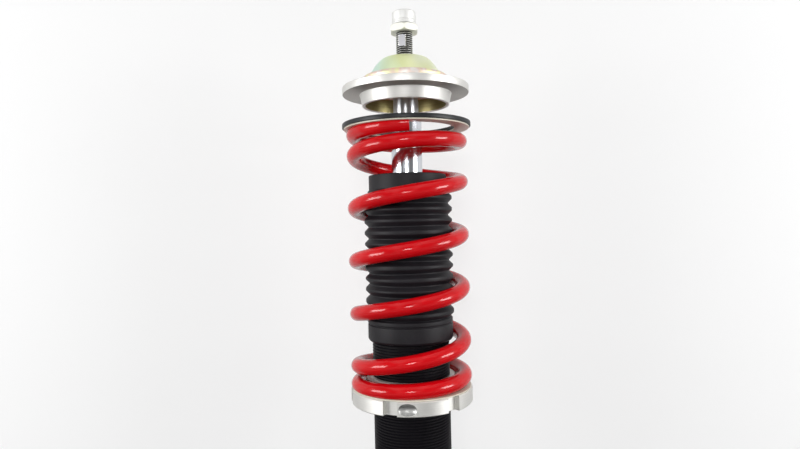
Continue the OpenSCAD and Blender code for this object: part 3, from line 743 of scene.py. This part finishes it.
def boot_outline(low_z, high_z):
    """The boot's section: a thick lower cuff with a lip line, rounded ribs, and a plain upper cuff."""
    cuff_r = BOOT_BORE + LOWER_CUFF_WALL
    ribs_low = low_z + LOWER_CUFF_H
    ribs_high = high_z - UPPER_CUFF_H
    lip = ribs_low - LIP_BELOW_RIBS
    outside = [
        (BOOT_BORE, low_z), (cuff_r - CUFF_FOOT_IN, low_z), (cuff_r, low_z + CUFF_FOOT_UP),
        (cuff_r, lip - LIP_DEPTH), (cuff_r - LIP_DEPTH, lip), (cuff_r, lip + LIP_DEPTH),
        (cuff_r, ribs_low - CUFF_CORNER), (cuff_r - CUFF_CORNER, ribs_low),
    ]
    inside = []
    for i in range(RIB_COUNT):
        middle = ribs_low + (i + 0.5) * RIB_PITCH
        valley = (RIB_PITCH - RIB_VALLEY_FLAT) / 2
        tip = RIB_TIP_FLAT / 2
        rib = [(RIB_VALLEY_R, middle - valley), (RIB_TIP_R, middle - tip), (RIB_TIP_R, middle + tip),
               (RIB_VALLEY_R, middle + valley)]
        outside += [(radius, height, RIB_BEND_R) for radius, height in rib]
        inside += [(radius - BOOT_WALL, height) for radius, height in rib]
    upper_bore = UPPER_CUFF_R - BOOT_WALL
    outside += [
        (RIB_VALLEY_R, ribs_high - UPPER_CUFF_STEP), (UPPER_CUFF_R, ribs_high), (UPPER_CUFF_R, high_z),
        (upper_bore, high_z), (upper_bore, ribs_high - UPPER_CUFF_STEP / 2),
    ]
    root = ribs_low - CUFF_FOOT_UP
    return outside + inside[::-1] + [(RIB_VALLEY_R - BOOT_WALL, root), (BOOT_BORE, root - CUFF_SLOPE)]


def dust_boot():
    """The bellows. Its ribs lie a little unevenly, as soft rubber does."""
    low, high = box_mm("dust_boot")
    ribs_low = low[2] + LOWER_CUFF_H
    ribs_high = high[2] - UPPER_CUFF_H

    def sag(angle, height):
        if not ribs_low < height < ribs_high:
            return 0.0
        share = (height - ribs_low) / (ribs_high - ribs_low)
        rib = round((height - ribs_low) / RIB_PITCH)
        lean = SAG * math.sin(angle + SAG_TURN_PER_RIB * rib)
        return math.sin(math.pi * share) ** 0.5 * (lean + WAVE * math.sin(2 * angle + rib))

    mesh = lathe(rounded(boot_outline(low[2], high[2]), CUFF_CORNER), sag=sag)
    piece = new_piece("bellows_boot", mesh, "case", "boot_rubber", ["dust_boot"])
    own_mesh(piece)


# ---------- threads

def thread_tree():
    """Geometry Nodes for an outside thread: a grid wrapped round Z so that its rows climb as a helix.

    Four rows make a pitch: the two edges of the root and the two edges of the crest. Rows climb by one
    pitch in a turn. What would lie beyond Low or High is drawn in to the root there, so the thread starts
    and ends in a plain circle.
    """
    tree, given = new_tree(
        "v_thread",
        Float=("Crest Radius", "Depth", "Pitch", "Low", "High"),
        Int=("Columns", "Rows"),
        Material=("Material",),
    )
    low, high, pitch, depth = given["Low"], given["High"], given["Pitch"], given["Depth"]
    wide = add(tree, MATH, [given["Columns"], 1.0], operation="ADD")
    grid = add(tree, "GeometryNodeMeshGrid", {"Vertices X": wide, "Vertices Y": given["Rows"]})
    turn, share = add(tree, SPLIT, [grid.outputs["UV Map"]]).outputs[:2]
    last = add(tree, MATH, [given["Rows"], 1.0], operation="SUBTRACT")
    counted = add(tree, MATH, [share, last], operation="MULTIPLY")
    row = add(tree, MATH, [counted], operation="ROUND")

    # Rows stand a fourth of a pitch apart, and the second edge of each flat is drawn back to the first.
    in_pitch = add(tree, MATH, [row, ROWS_PER_PITCH], operation="MODULO")
    crest = add(tree, MATH, [in_pitch, 1.5], operation="GREATER_THAN")
    second = add(tree, MATH, [row, 2.0], operation="MODULO")
    even = add(tree, MATH, [row, 1 / ROWS_PER_PITCH, turn], operation="MULTIPLY_ADD")
    drawn_back = FLAT_SHARE - 1 / ROWS_PER_PITCH
    climbed = add(tree, MATH, [second, drawn_back, even], operation="MULTIPLY_ADD")
    base = add(tree, MATH, [low, pitch], operation="SUBTRACT")
    wound = add(tree, MATH, [climbed, pitch, base], operation="MULTIPLY_ADD")
    above = add(tree, MATH, [wound, low], operation="MAXIMUM")
    height = add(tree, MATH, [above, high], operation="MINIMUM")

    past_low = add(tree, MATH, [wound, low], operation="GREATER_THAN")
    short_of_high = add(tree, MATH, [wound, high], operation="LESS_THAN")
    inside = add(tree, MATH, [past_low, short_of_high], operation="MULTIPLY")
    raised = add(tree, MATH, [inside, crest], operation="MULTIPLY")
    root = add(tree, MATH, [given["Crest Radius"], depth], operation="SUBTRACT")
    radius = add(tree, MATH, [raised, depth, root], operation="MULTIPLY_ADD")
    angle = add(tree, MATH, [turn, 2 * math.pi], operation="MULTIPLY")
    x, y = round_z(tree, angle, radius)
    return end_tree(tree, moved(tree, grid, x, y, height), given["Material"])


THREAD_TREE = thread_tree()


def threaded(name, inside, crest_r, pitch, low, high, columns, finish):
    """A wound thread closed by a turned inside, whose outline runs from its low end to its high end."""
    depth = THREAD_DEPTH_SHARE * pitch
    root = crest_r - depth
    skin = grow(
        THREAD_TREE, name,
        crest_radius=crest_r * MM, depth=depth * MM, pitch=pitch * MM, low=low * MM, high=high * MM,
        columns=columns, rows=ROWS_PER_PITCH * (math.ceil((high - low) / pitch) + 2),
        material=MATERIALS[finish],
    )
    core = lathe([(root, low)] + inside + [(root, high)], columns, closed=False)
    made = bmesh.new()
    made.from_mesh(skin)
    made.from_mesh(core)
    bmesh.ops.remove_doubles(made, verts=made.verts, dist=MERGE)
    bmesh.ops.dissolve_degenerate(made, edges=made.edges, dist=SAME_POINT)
    bmesh.ops.recalc_face_normals(made, faces=made.faces)
    mesh = mesh_of(made, name, sharp_degrees=30)
    # Brings every face back to the first slot
    mesh.materials.clear()
    mesh.materials.append(MATERIALS[finish])
    return mesh


# ---------- damper

def damper_case():
    """The case: a fine black-coated thread from end to end, with a plain land at each end."""
    low, high = box_mm("damper_case")
    bore = CASE_R - CASE_WALL
    root = CASE_R - THREAD_DEPTH_SHARE * CASE_PITCH
    inside = [
        (root, low[2] + CASE_CORNER), (root - CASE_CORNER, low[2]), (bore, low[2]),
        (bore, high[2]), (root - CASE_CORNER, high[2]), (root, high[2] - CASE_CORNER),
    ]
    mesh = threaded("threaded_case", inside, CASE_R, CASE_PITCH, low[2] + CASE_LAND, high[2] - CASE_LAND,
                    ROUND_FACES, "black_coated_steel")
    new_piece("threaded_case", mesh, "case", "black_coated_steel", ["damper_case"])


def piston_rod():
    """The chromed rod, whose slimmer neck runs up through the seat to the cap."""
    low, high = box_mm("piston_rod")
    neck_top = -CAP_SHEET - CLEARANCE
    shoulder = low[2] + STEM_LENGTH
    outline = [
        (NEEDLE_BORE_R, low[2]), (STEM_R, low[2]), (STEM_R, shoulder), (ROD_R, shoulder),
        (ROD_R, NECK_LOW - NECK_TAPER), (NECK_R, NECK_LOW), (NECK_R, neck_top), (NEEDLE_BORE_R, neck_top),
    ]
    mesh = lathe(rounded(outline, ROD_CORNER), SLIM_FACES)
    piece = new_piece("chromed_rod", mesh, "rod", "chromed_rod", ["piston_rod"])
    coat(piece, "ground_neck", lambda face, reach, height: height > NECK_LOW and reach < ROD_R)
    threaded_stud(neck_top, high[2])


def threaded_stud(low_z, high_z):
    """The stud on top of the rod, threaded from the cap up, with two spanner flats milled below its nut."""
    root = STUD_R - THREAD_DEPTH_SHARE * STUD_PITCH
    inside = [
        (STUD_R, 0.0), (STUD_R, low_z), (NEEDLE_BORE_R, low_z),
        (NEEDLE_BORE_R, high_z), (root - STUD_CORNER, high_z), (root, high_z - STUD_CORNER),
    ]
    mesh = threaded("threaded_stud", inside, STUD_R, STUD_PITCH, STUD_THREAD_LOW, high_z - STUD_LAND,
                    SLIM_FACES, "rubbed_thread")
    flat_high = (box_mm("rod_lock_nut")[0][2] - FLAT_BELOW_NUT) * MM
    flat_low = flat_high - FLAT_LENGTH * MM
    flat_r = (STUD_R - FLAT_CUT) * MM
    flat_half_width = math.sqrt((STUD_R * MM) ** 2 - flat_r ** 2)
    facing = Vector((math.cos(FRONT + FLAT_TURN), math.sin(FRONT + FLAT_TURN), 0))
    milled = set()
    for vertex in mesh.vertices:
        reach = vertex.co.dot(facing)
        aside = (vertex.co.xy - facing.xy * reach).length
        if flat_low < vertex.co.z < flat_high and aside < flat_half_width:
            vertex.co -= facing * (reach - math.copysign(flat_r, reach))
            milled.add(vertex.index)
    piece = new_piece("threaded_stud", mesh, "rod", "chromed_rod", ["piston_rod"])
    coat(piece, "milled_flat", lambda face, reach, height: milled.issuperset(face.vertices))
    for face in mesh.polygons:
        face.use_smooth = face.material_index == 0


def bump_stop():
    """The yellow foam stop on the rod, with its waists."""
    low, high = box_mm("bump_stop")
    outer = high[0]
    waist = outer - 2 * BUMP_WAIST_DEPTH
    shoulder = outer - BUMP_WAIST_DEPTH
    bore = ROD_R + BUMP_CLEARANCE
    step = (high[2] - low[2]) / (BUMP_WAISTS + 1)
    outline = [(bore, high[2]), (bore, low[2]), (waist, low[2]), (shoulder, low[2] + BUMP_FOOT_H)]
    for i in range(BUMP_WAISTS, 0, -1):
        middle = high[2] - i * step
        outline += [(shoulder, middle - BUMP_WAIST_HALF_H), (waist, middle),
                    (shoulder, middle + BUMP_WAIST_HALF_H)]
    outline += [(outer, high[2] - UPPER_CUFF_H), (outer, high[2])]
    mesh = lathe(rounded(outline, BUMP_CORNER), SLIM_FACES)
    new_piece("foam_bump_stop", mesh, "bump", "urethane", ["bump_stop"])


# ---------- upper seat

def upper_seat():
    """The turned seat plate: a broad rim, and a hollow tapered boss that centres the spring."""
    low, high = box_mm("upper_spring_seat")
    plate_low = low[2] + BOSS_DROP
    outline = [
        (BOSS_BORE_R, high[2]), (PLATE_R, high[2]), (PLATE_R, plate_low), (BOSS_ROOT_R, plate_low),
        (BOSS_TIP_R, low[2]), (BOSS_BORE_R, low[2]),
    ]
    mesh = lathe(rounded(outline, SEAT_CORNER), BROAD_FACES)
    piece = new_piece("turned_seat", mesh, "upper_seat", "turned_alloy", ["upper_spring_seat"])
    bore_low = low[2] + SEAT_CORNER
    bore_r = BOSS_BORE_R + 2 * CLEARANCE
    # Painted shade: the bore is dark olive, with a painted reflection of the yellow cap
    coat(piece, "olive_zinc", lambda face, reach, height: height > bore_low and reach < bore_r)
    # Painted shade: faces of the plate that point down take a greyer colour
    coat(piece, "faced_alloy",
         lambda face, reach, height: face.normal.z < FACING_DOWN and reach > BOSS_ROOT_R)


def bearing_cap():
    """The pressed cap: a domed crown of even sheet, and a rolled bead that sits on the seat."""
    low, high = box_mm("bearing_cap")
    seat_z = low[2] + CAP_LIP_DROP
    bead_z = seat_z + CAP_BEAD_H
    lip_bore = CAP_LIP_R - CAP_SHEET
    outside = [(radius, high[2] - drop, 3 * CAP_SHEET) for radius, drop in CAP_CROWN]
    inside = [(radius - CAP_SHEET / 2, high[2] - drop - CAP_INSIDE_DOWN, 2 * CAP_SHEET)
              for radius, drop in CAP_CROWN[1:]]
    outline = [(CAP_HOLE_R, high[2])] + outside + [
        (CAP_CROWN[-1][0] + CAP_BEAD_ROOT_OUT, bead_z, CAP_BEAD_ROOT_BEND),
        (CAP_BEAD_R, bead_z, CAP_BEAD_BEND), (CAP_BEAD_R, seat_z), (CAP_LIP_R, seat_z),
        (CAP_LIP_R, low[2]), (lip_bore, low[2]), (lip_bore - CAP_LIP_TAPER, seat_z + CAP_LIP_TAPER_H),
    ] + inside[::-1] + [(CAP_HOLE_R, high[2] - CAP_SHEET)]
    mesh = lathe(rounded(outline, CAP_BEND, steps=4), BROAD_FACES)
    new_piece("pressed_cap", mesh, "upper_seat", "yellow_zinc_steel", ["bearing_cap"])


def damping_dial():
    """The dial: a satin turned cap with a bevelled top, two fine grooves and an undercut foot."""
    low, high = box_mm("damping_knob")
    rim = high[0]
    socket_r = STUD_R + CLEARANCE
    socket_top = low[2] + DIAL_SOCKET_H
    outline = [(0, high[2]), (rim - DIAL_BEVEL, high[2]), (rim, high[2] - DIAL_BEVEL)]
    for share in DIAL_GROOVES:
        middle = low[2] + share * (high[2] - low[2])
        outline += [(rim, middle + DIAL_GROOVE), (rim - DIAL_GROOVE, middle), (rim, middle - DIAL_GROOVE)]
    outline += [
        (rim, low[2] + DIAL_FOOT_H), (rim - DIAL_UNDERCUT, low[2] + DIAL_FOOT_H - DIAL_FOOT_SLOPE),
        (rim - DIAL_UNDERCUT, low[2]), (socket_r, low[2]), (socket_r, socket_top), (0, socket_top),
    ]
    new_piece("turned_dial", lathe(rounded(outline, DIAL_CORNER)), "dial", "dial_alloy", ["damping_knob"])


def flat_ring(name, node, bore, body, slot, corner_mm):
    """A plain ring between the heights and out to the rim of its CAD node."""
    low, high = box_mm(node)
    outline = [(bore, low[2]), (high[0], low[2]), (high[0], high[2]), (bore, high[2])]
    new_piece(name, lathe(rounded(outline, corner_mm), BROAD_FACES), body, slot, [node])


# ---------- spring perch

def spring_perch():
    """The notched perch ring. The cutter that scooped its rim left a smoother dish, painted greyer as shade
    in the hollow.
    """
    piece = machined_copy("notched_perch", "spring_perch", "perch", "turned_alloy", edge_mm=0.35)
    low, high = box_mm("spring_perch")
    facing = Vector((math.cos(FRONT + SCOOP_TURN), math.sin(FRONT + SCOOP_TURN)))

    def scooped(face, reach, height):
        outward = face.center.xy.normalized()
        off_middle = abs(height - low[2] - PERCH_RIM_H / 2)
        in_window = outward.angle(facing) < SCOOP_HALF_ANGLE and off_middle < SCOOP_HEIGHT / 2
        cut_in = reach < high[0] - SCOOP_DEPTH / 2 or face.normal.xy.dot(outward) < FACING_OUT
        return in_window and cut_in and reach > NOTCH_FLOOR_R

    # Painted shade: the scoop's dish is greyer than the rim
    coat(piece, "scooped_alloy", scooped)


# ---------- bracket

def weld_tree():
    """Geometry Nodes for a rippled weld bead that is laid round Z, half sunk in its corner.

    It may climb by Rise from end to end, and its height may follow the yoke's edge, which steps by Relief
    towards -Y and reaches the full step at Relief Reach.
    """
    tree, given = new_tree(
        "weld_bead",
        Float=("Radius", "Start", "Sweep", "Low", "Rise", "Relief", "Relief Reach", "Bead Radius"),
        Int=("Ripples",),
        Material=("Material",),
    )
    rings = add(tree, MATH, [given["Ripples"], RINGS_PER_RIPPLE], operation="MULTIPLY")
    points, along = counted_line(tree, rings)
    angle = add(tree, MATH, [along, given["Sweep"], given["Start"]], operation="MULTIPLY_ADD")
    x, y = round_z(tree, angle, given["Radius"])
    behind = add(tree, MATH, [y, given["Relief Reach"]], operation="DIVIDE")
    step = add(tree, MATH, [behind, -1.0], operation="MULTIPLY", use_clamp=True)
    climbed = add(tree, MATH, [along, given["Rise"], given["Low"]], operation="MULTIPLY_ADD")
    height = add(tree, MATH, [step, given["Relief"], climbed], operation="MULTIPLY_ADD")
    path = moved(tree, points, x, y, height)

    phase = add(tree, MATH, [given["Ripples"], math.pi], operation="MULTIPLY")
    wave = add(tree, MATH, [along, phase], operation="MULTIPLY")
    crest = add(tree, MATH, [wave], operation="SINE")
    swell = add(tree, MATH, [crest], operation="ABSOLUTE")
    scale = add(tree, MATH, [swell, RIPPLE_SWELL, RIPPLE_WAIST], operation="MULTIPLY_ADD")
    rippled = add(tree, "GeometryNodeSetCurveRadius", {"Curve": path, "Radius": scale})
    bead = round_bar(tree, rippled, given["Bead Radius"], WELD_SIDES)
    return end_tree(tree, bead, given["Material"])


def weld(tree, name, radius, start, sweep, low, rise=0.0, relief=0.0, bead=TAB_WELD_R):
    """Lays one weld bead on the bracket. Its ripples are as many as fit its length."""
    mesh = grow(
        tree, name,
        radius=radius * MM, start=start, sweep=sweep, low=low * MM, rise=rise * MM,
        relief=relief * MM, relief_reach=YOKE_R / 2 * MM, bead_radius=bead * MM,
        ripples=round(math.hypot(radius * sweep, rise) / RIPPLE_LENGTH),
        material=MATERIALS["black_painted_steel"],
    )
    shade(mesh, sharp_degrees=60)
    new_piece(name, mesh, "bracket", "black_painted_steel")


def bracket_welds():
    """Beads along the yoke's two edges on the socket, and on both sides of each tab's root."""
    tree = weld_tree()
    low, high = box_mm("knuckle_yoke")
    for name, z, relief in (("low", low[2], FRONT_RELIEF), ("high", high[2], -FRONT_RELIEF)):
        weld(tree, "yoke_weld_" + name, SOCKET_R, -math.pi, math.pi, z, relief=relief, bead=YOKE_WELD_R)
    low, high = box_mm("stabiliser_link_tab")
    for name, edge in (("left", low[0]), ("right", high[0])):
        angle = FRONT + math.asin(edge / YOKE_R)
        weld(tree, "link_weld_" + name, YOKE_R, angle, 0.0, low[2], rise=high[2] - low[2])
    low, high = box_mm("brake_hose_tab")
    reach = math.asin(high[1] / YOKE_R)
    for name, z in (("low", low[2]), ("high", high[2])):
        weld(tree, "hose_weld_" + name, YOKE_R, -reach, 2 * reach, z)


def bracket():
    """The lower bracket: a socket that the case screws into, the yoke round it, and its two tabs."""
    low, high = box_mm("bracket_socket")
    bore = CASE_R + CLEARANCE
    outline = [(bore, low[2]), (SOCKET_R, low[2]), (SOCKET_R, high[2]), (bore, high[2])]
    mesh = lathe(rounded(outline, SOCKET_CORNER))
    new_piece("socket_tube", mesh, "bracket", "black_painted_steel", ["bracket_socket"])
    plates = {"yoke_plate": ("knuckle_yoke", 0.8), "link_tab": ("stabiliser_link_tab", 0.6),
              "hose_tab": ("brake_hose_tab", 0.4)}
    for name, (node, edge_mm) in plates.items():
        machined_copy(name, node, "bracket", "black_painted_steel", edge_mm, segments=3)
    bracket_welds()


# ---------- stage, light and camera

def camera():
    """Camera that looks level along +Y, from a little left of the damper's axis."""
    data = bpy.data.cameras.new("camera")
    data.sensor_width = 36.0
    data.lens = data.sensor_width * FOCAL_SHARE
    data.clip_start = 0.01
    made = new_object("camera", data)
    made.matrix_world = (
        Matrix.Translation(Vector((EYE_X, -EYE_DISTANCE, EYE_Z)) * MM)
        @ Matrix.Rotation(math.pi / 2, 4, "X")
        @ Matrix.Rotation(CAMERA_ROLL, 4, "Z")
    )
    bpy.context.scene.camera = made


def around(azimuth, elevation):
    """A place a metre from the spring's middle: 0 degrees is towards the camera and 90 to the right."""
    turn = math.radians(azimuth)
    lift = math.radians(elevation)
    return Vector((math.sin(turn) * math.cos(lift), -math.cos(turn) * math.cos(lift), math.sin(lift)))


def lamp(name, azimuth, elevation, width, height, watts):
    """A plain soft box a metre from the spring's middle, turned to it and left out of the picture."""
    data = bpy.data.lights.new(name, "AREA")
    data.shape = "RECTANGLE"
    data.size = width
    data.size_y = height
    data.energy = watts
    made = new_object(name, data)
    away = around(azimuth, elevation)
    made.location = away + Vector(AXIS_UP) * EYE_Z * MM
    made.rotation_mode = "QUATERNION"
    made.rotation_quaternion = (-away).to_track_quat("-Z", "Y")
    made.visible_camera = False


def white_paper(floor_z):
    """White paper: partly even white to the camera, and clear from behind, so that it hides nothing there.

    Its foot looks grey to every other ray: painted shade, as paper has under an object that stands on it.
    Shiny pieces see the wall a little dimmed.
    """
    foot_height = 0.2
    grey_within = 0.55
    white_beyond = 1.2
    glossy_share = 0.72
    bounce_share = 0.6
    even_share = 0.5
    tree, shader = new_material("white_paper")[:2]
    rays = add(tree, "ShaderNodeLightPath").outputs
    geometry = add(tree, "ShaderNodeNewGeometry").outputs
    height = add(tree, SPLIT, [geometry["Position"]]).outputs[2]
    # Painted shade: the paper is grey near the floor, and for shiny pieces also near the object
    raised = add(tree, RANGE, {"Value": height, "From Min": floor_z, "From Max": floor_z + foot_height})
    away = add(tree, "ShaderNodeVectorMath", [geometry["Position"]], operation="LENGTH").outputs["Value"]
    far = add(tree, RANGE, {"Value": away, "From Min": grey_within, "From Max": white_beyond})
    bright = add(tree, MATH, [raised, far], operation="MAXIMUM")
    dimmed = add(tree, MATH, [bright, glossy_share], operation="MULTIPLY")
    wall = add(tree, MATH, [rays["Is Glossy Ray"], dimmed], operation="MULTIPLY")
    shown = add(tree, MATH, [rays["Is Camera Ray"], wall], operation="MAXIMUM")
    bounce = add(tree, MATH, [raised, bounce_share], operation="MULTIPLY")
    seen = add(tree, MATH, [shown, bounce], operation="MAXIMUM")
    # The grey is the painted shade, and the white is the paper's own colour
    colour = add(tree, "ShaderNodeMix", {0: seen, 6: linear("585858"), 7: linear("F4F4F4")},
                 data_type="RGBA")
    fill(tree, shader, {"Base Color": colour.outputs[2], "Roughness": 0.9, "Specular IOR Level": 0.1})
    even = add(tree, "ShaderNodeEmission", {"Color": linear("F8F8F8"), "Strength": 1.0})
    share = add(tree, MATH, [seen, even_share], operation="MULTIPLY")
    paper = add(tree, "ShaderNodeMixShader", [share, shader, even])
    clear = add(tree, "ShaderNodeBsdfTransparent")
    mixed = add(tree, "ShaderNodeMixShader", [geometry["Backfacing"], paper, clear])
    output = next(n for n in tree.nodes if n.type == "OUTPUT_MATERIAL")
    fill(tree, output, {"Surface": mixed})


def paper_sweep(floor_z):
    """A floor below the object that bends up to a wall close behind it, all in metres."""
    half_width = 3.0
    front_y = -4.0
    wall_y = 0.12
    wall_top = 3.0
    bend = 0.03
    bend_steps = 8
    profile = [(front_y, floor_z)]
    for i in range(bend_steps + 1):
        angle = math.pi / 2 * i / bend_steps
        profile.append((wall_y - bend + bend * math.sin(angle), floor_z + bend - bend * math.cos(angle)))
    profile.append((wall_y, wall_top))
    points = [(x, y, z) for y, z in profile for x in (-half_width, half_width)]
    faces = [(2 * i, 2 * i + 1, 2 * i + 3, 2 * i + 2) for i in range(len(profile) - 1)]
    mesh = bpy.data.meshes.new("paper_sweep")
    mesh.from_pydata(points, [], faces)
    white_paper(floor_z)
    mesh.materials.append(MATERIALS["white_paper"])
    mesh.shade_smooth()
    new_object("paper_sweep", mesh)


def studio():
    """The room: even light for matt surfaces, and for shiny ones dim walls with a few white panels."""
    made = bpy.data.worlds.new("studio")
    bpy.context.scene.world = made
    made.use_nodes = True
    tree = made.node_tree
    tree.nodes.clear()
    rays = add(tree, "ShaderNodeLightPath").outputs
    direction = add(tree, "ShaderNodeTexCoord").outputs["Generated"]
    towards = add(tree, SPLIT, [direction]).outputs
    across = add(tree, RANGE, {"Value": towards[0], "From Min": -1.0, "From Max": 1.0})
    panels = add(tree, RAMP, {"Fac": across}, [
        (0.08, "F4F4F4"), (0.14, "808080"),
        (0.24, "787878"), (0.27, "D4D4D4"), (0.33, "D4D4D4"), (0.36, "787878"),
        (0.47, "606060"), (0.52, "787878"), (0.56, "D0D0D0"), (0.62, "D0D0D0"), (0.65, "787878"),
        (0.82, "808080"), (0.9, "F4F4F4"),
    ])
    glossy = add(tree, "ShaderNodeMix", {0: rays["Is Glossy Ray"], 6: linear("949494"), 7: panels},
                 data_type="RGBA")
    white = linear("F6F6F6")
    shown = add(tree, "ShaderNodeMix", {0: rays["Is Camera Ray"], 6: glossy.outputs[2], 7: white},
                data_type="RGBA")
    light = add(tree, "ShaderNodeBackground", {"Color": shown.outputs[2], "Strength": 1.0})
    add(tree, "ShaderNodeOutputWorld", {"Surface": light})


# ---------- build

bpy.context.scene.view_settings.view_transform = "Standard"
camera()
studio()
for name, settings in LAMPS.items():
    lamp(name, *settings)
paper_sweep(box_mm("bracket_socket")[0][2] * MM - FLOOR_GAP * MM)

slots = {row["node"]: row["material_slot"] for row in frame["record"]["subparts"]}
for node, cad in frame["nodes"].items():
    cad.data.materials.clear()
    cad.data.materials.append(finish_of(slots[node]))

coil_spring()
dust_boot()
bump_stop()
damper_case()
piston_rod()
upper_seat()
bearing_cap()
damping_dial()
flat_ring("pad_ring", "spring_pad_ring", RING_BORE_R, "pad", "black_nylon", RING_CORNER)
flat_ring("upper_washer", "upper_thrust_washer", RING_BORE_R, "pad", "cream_nylon", WASHER_CORNER)
flat_ring("lower_washer", "thrust_washer", LOWER_RING_BORE_R, "spring_stack", "cream_nylon", WASHER_CORNER)
machined_copy("hex_nut", "rod_lock_nut", "rod", "zinc_steel", edge_mm=0.25)
spring_perch()
machined_copy("notched_lock_ring", "bracket_lock_ring", "lock_ring", "turned_alloy", edge_mm=0.35)
bracket()
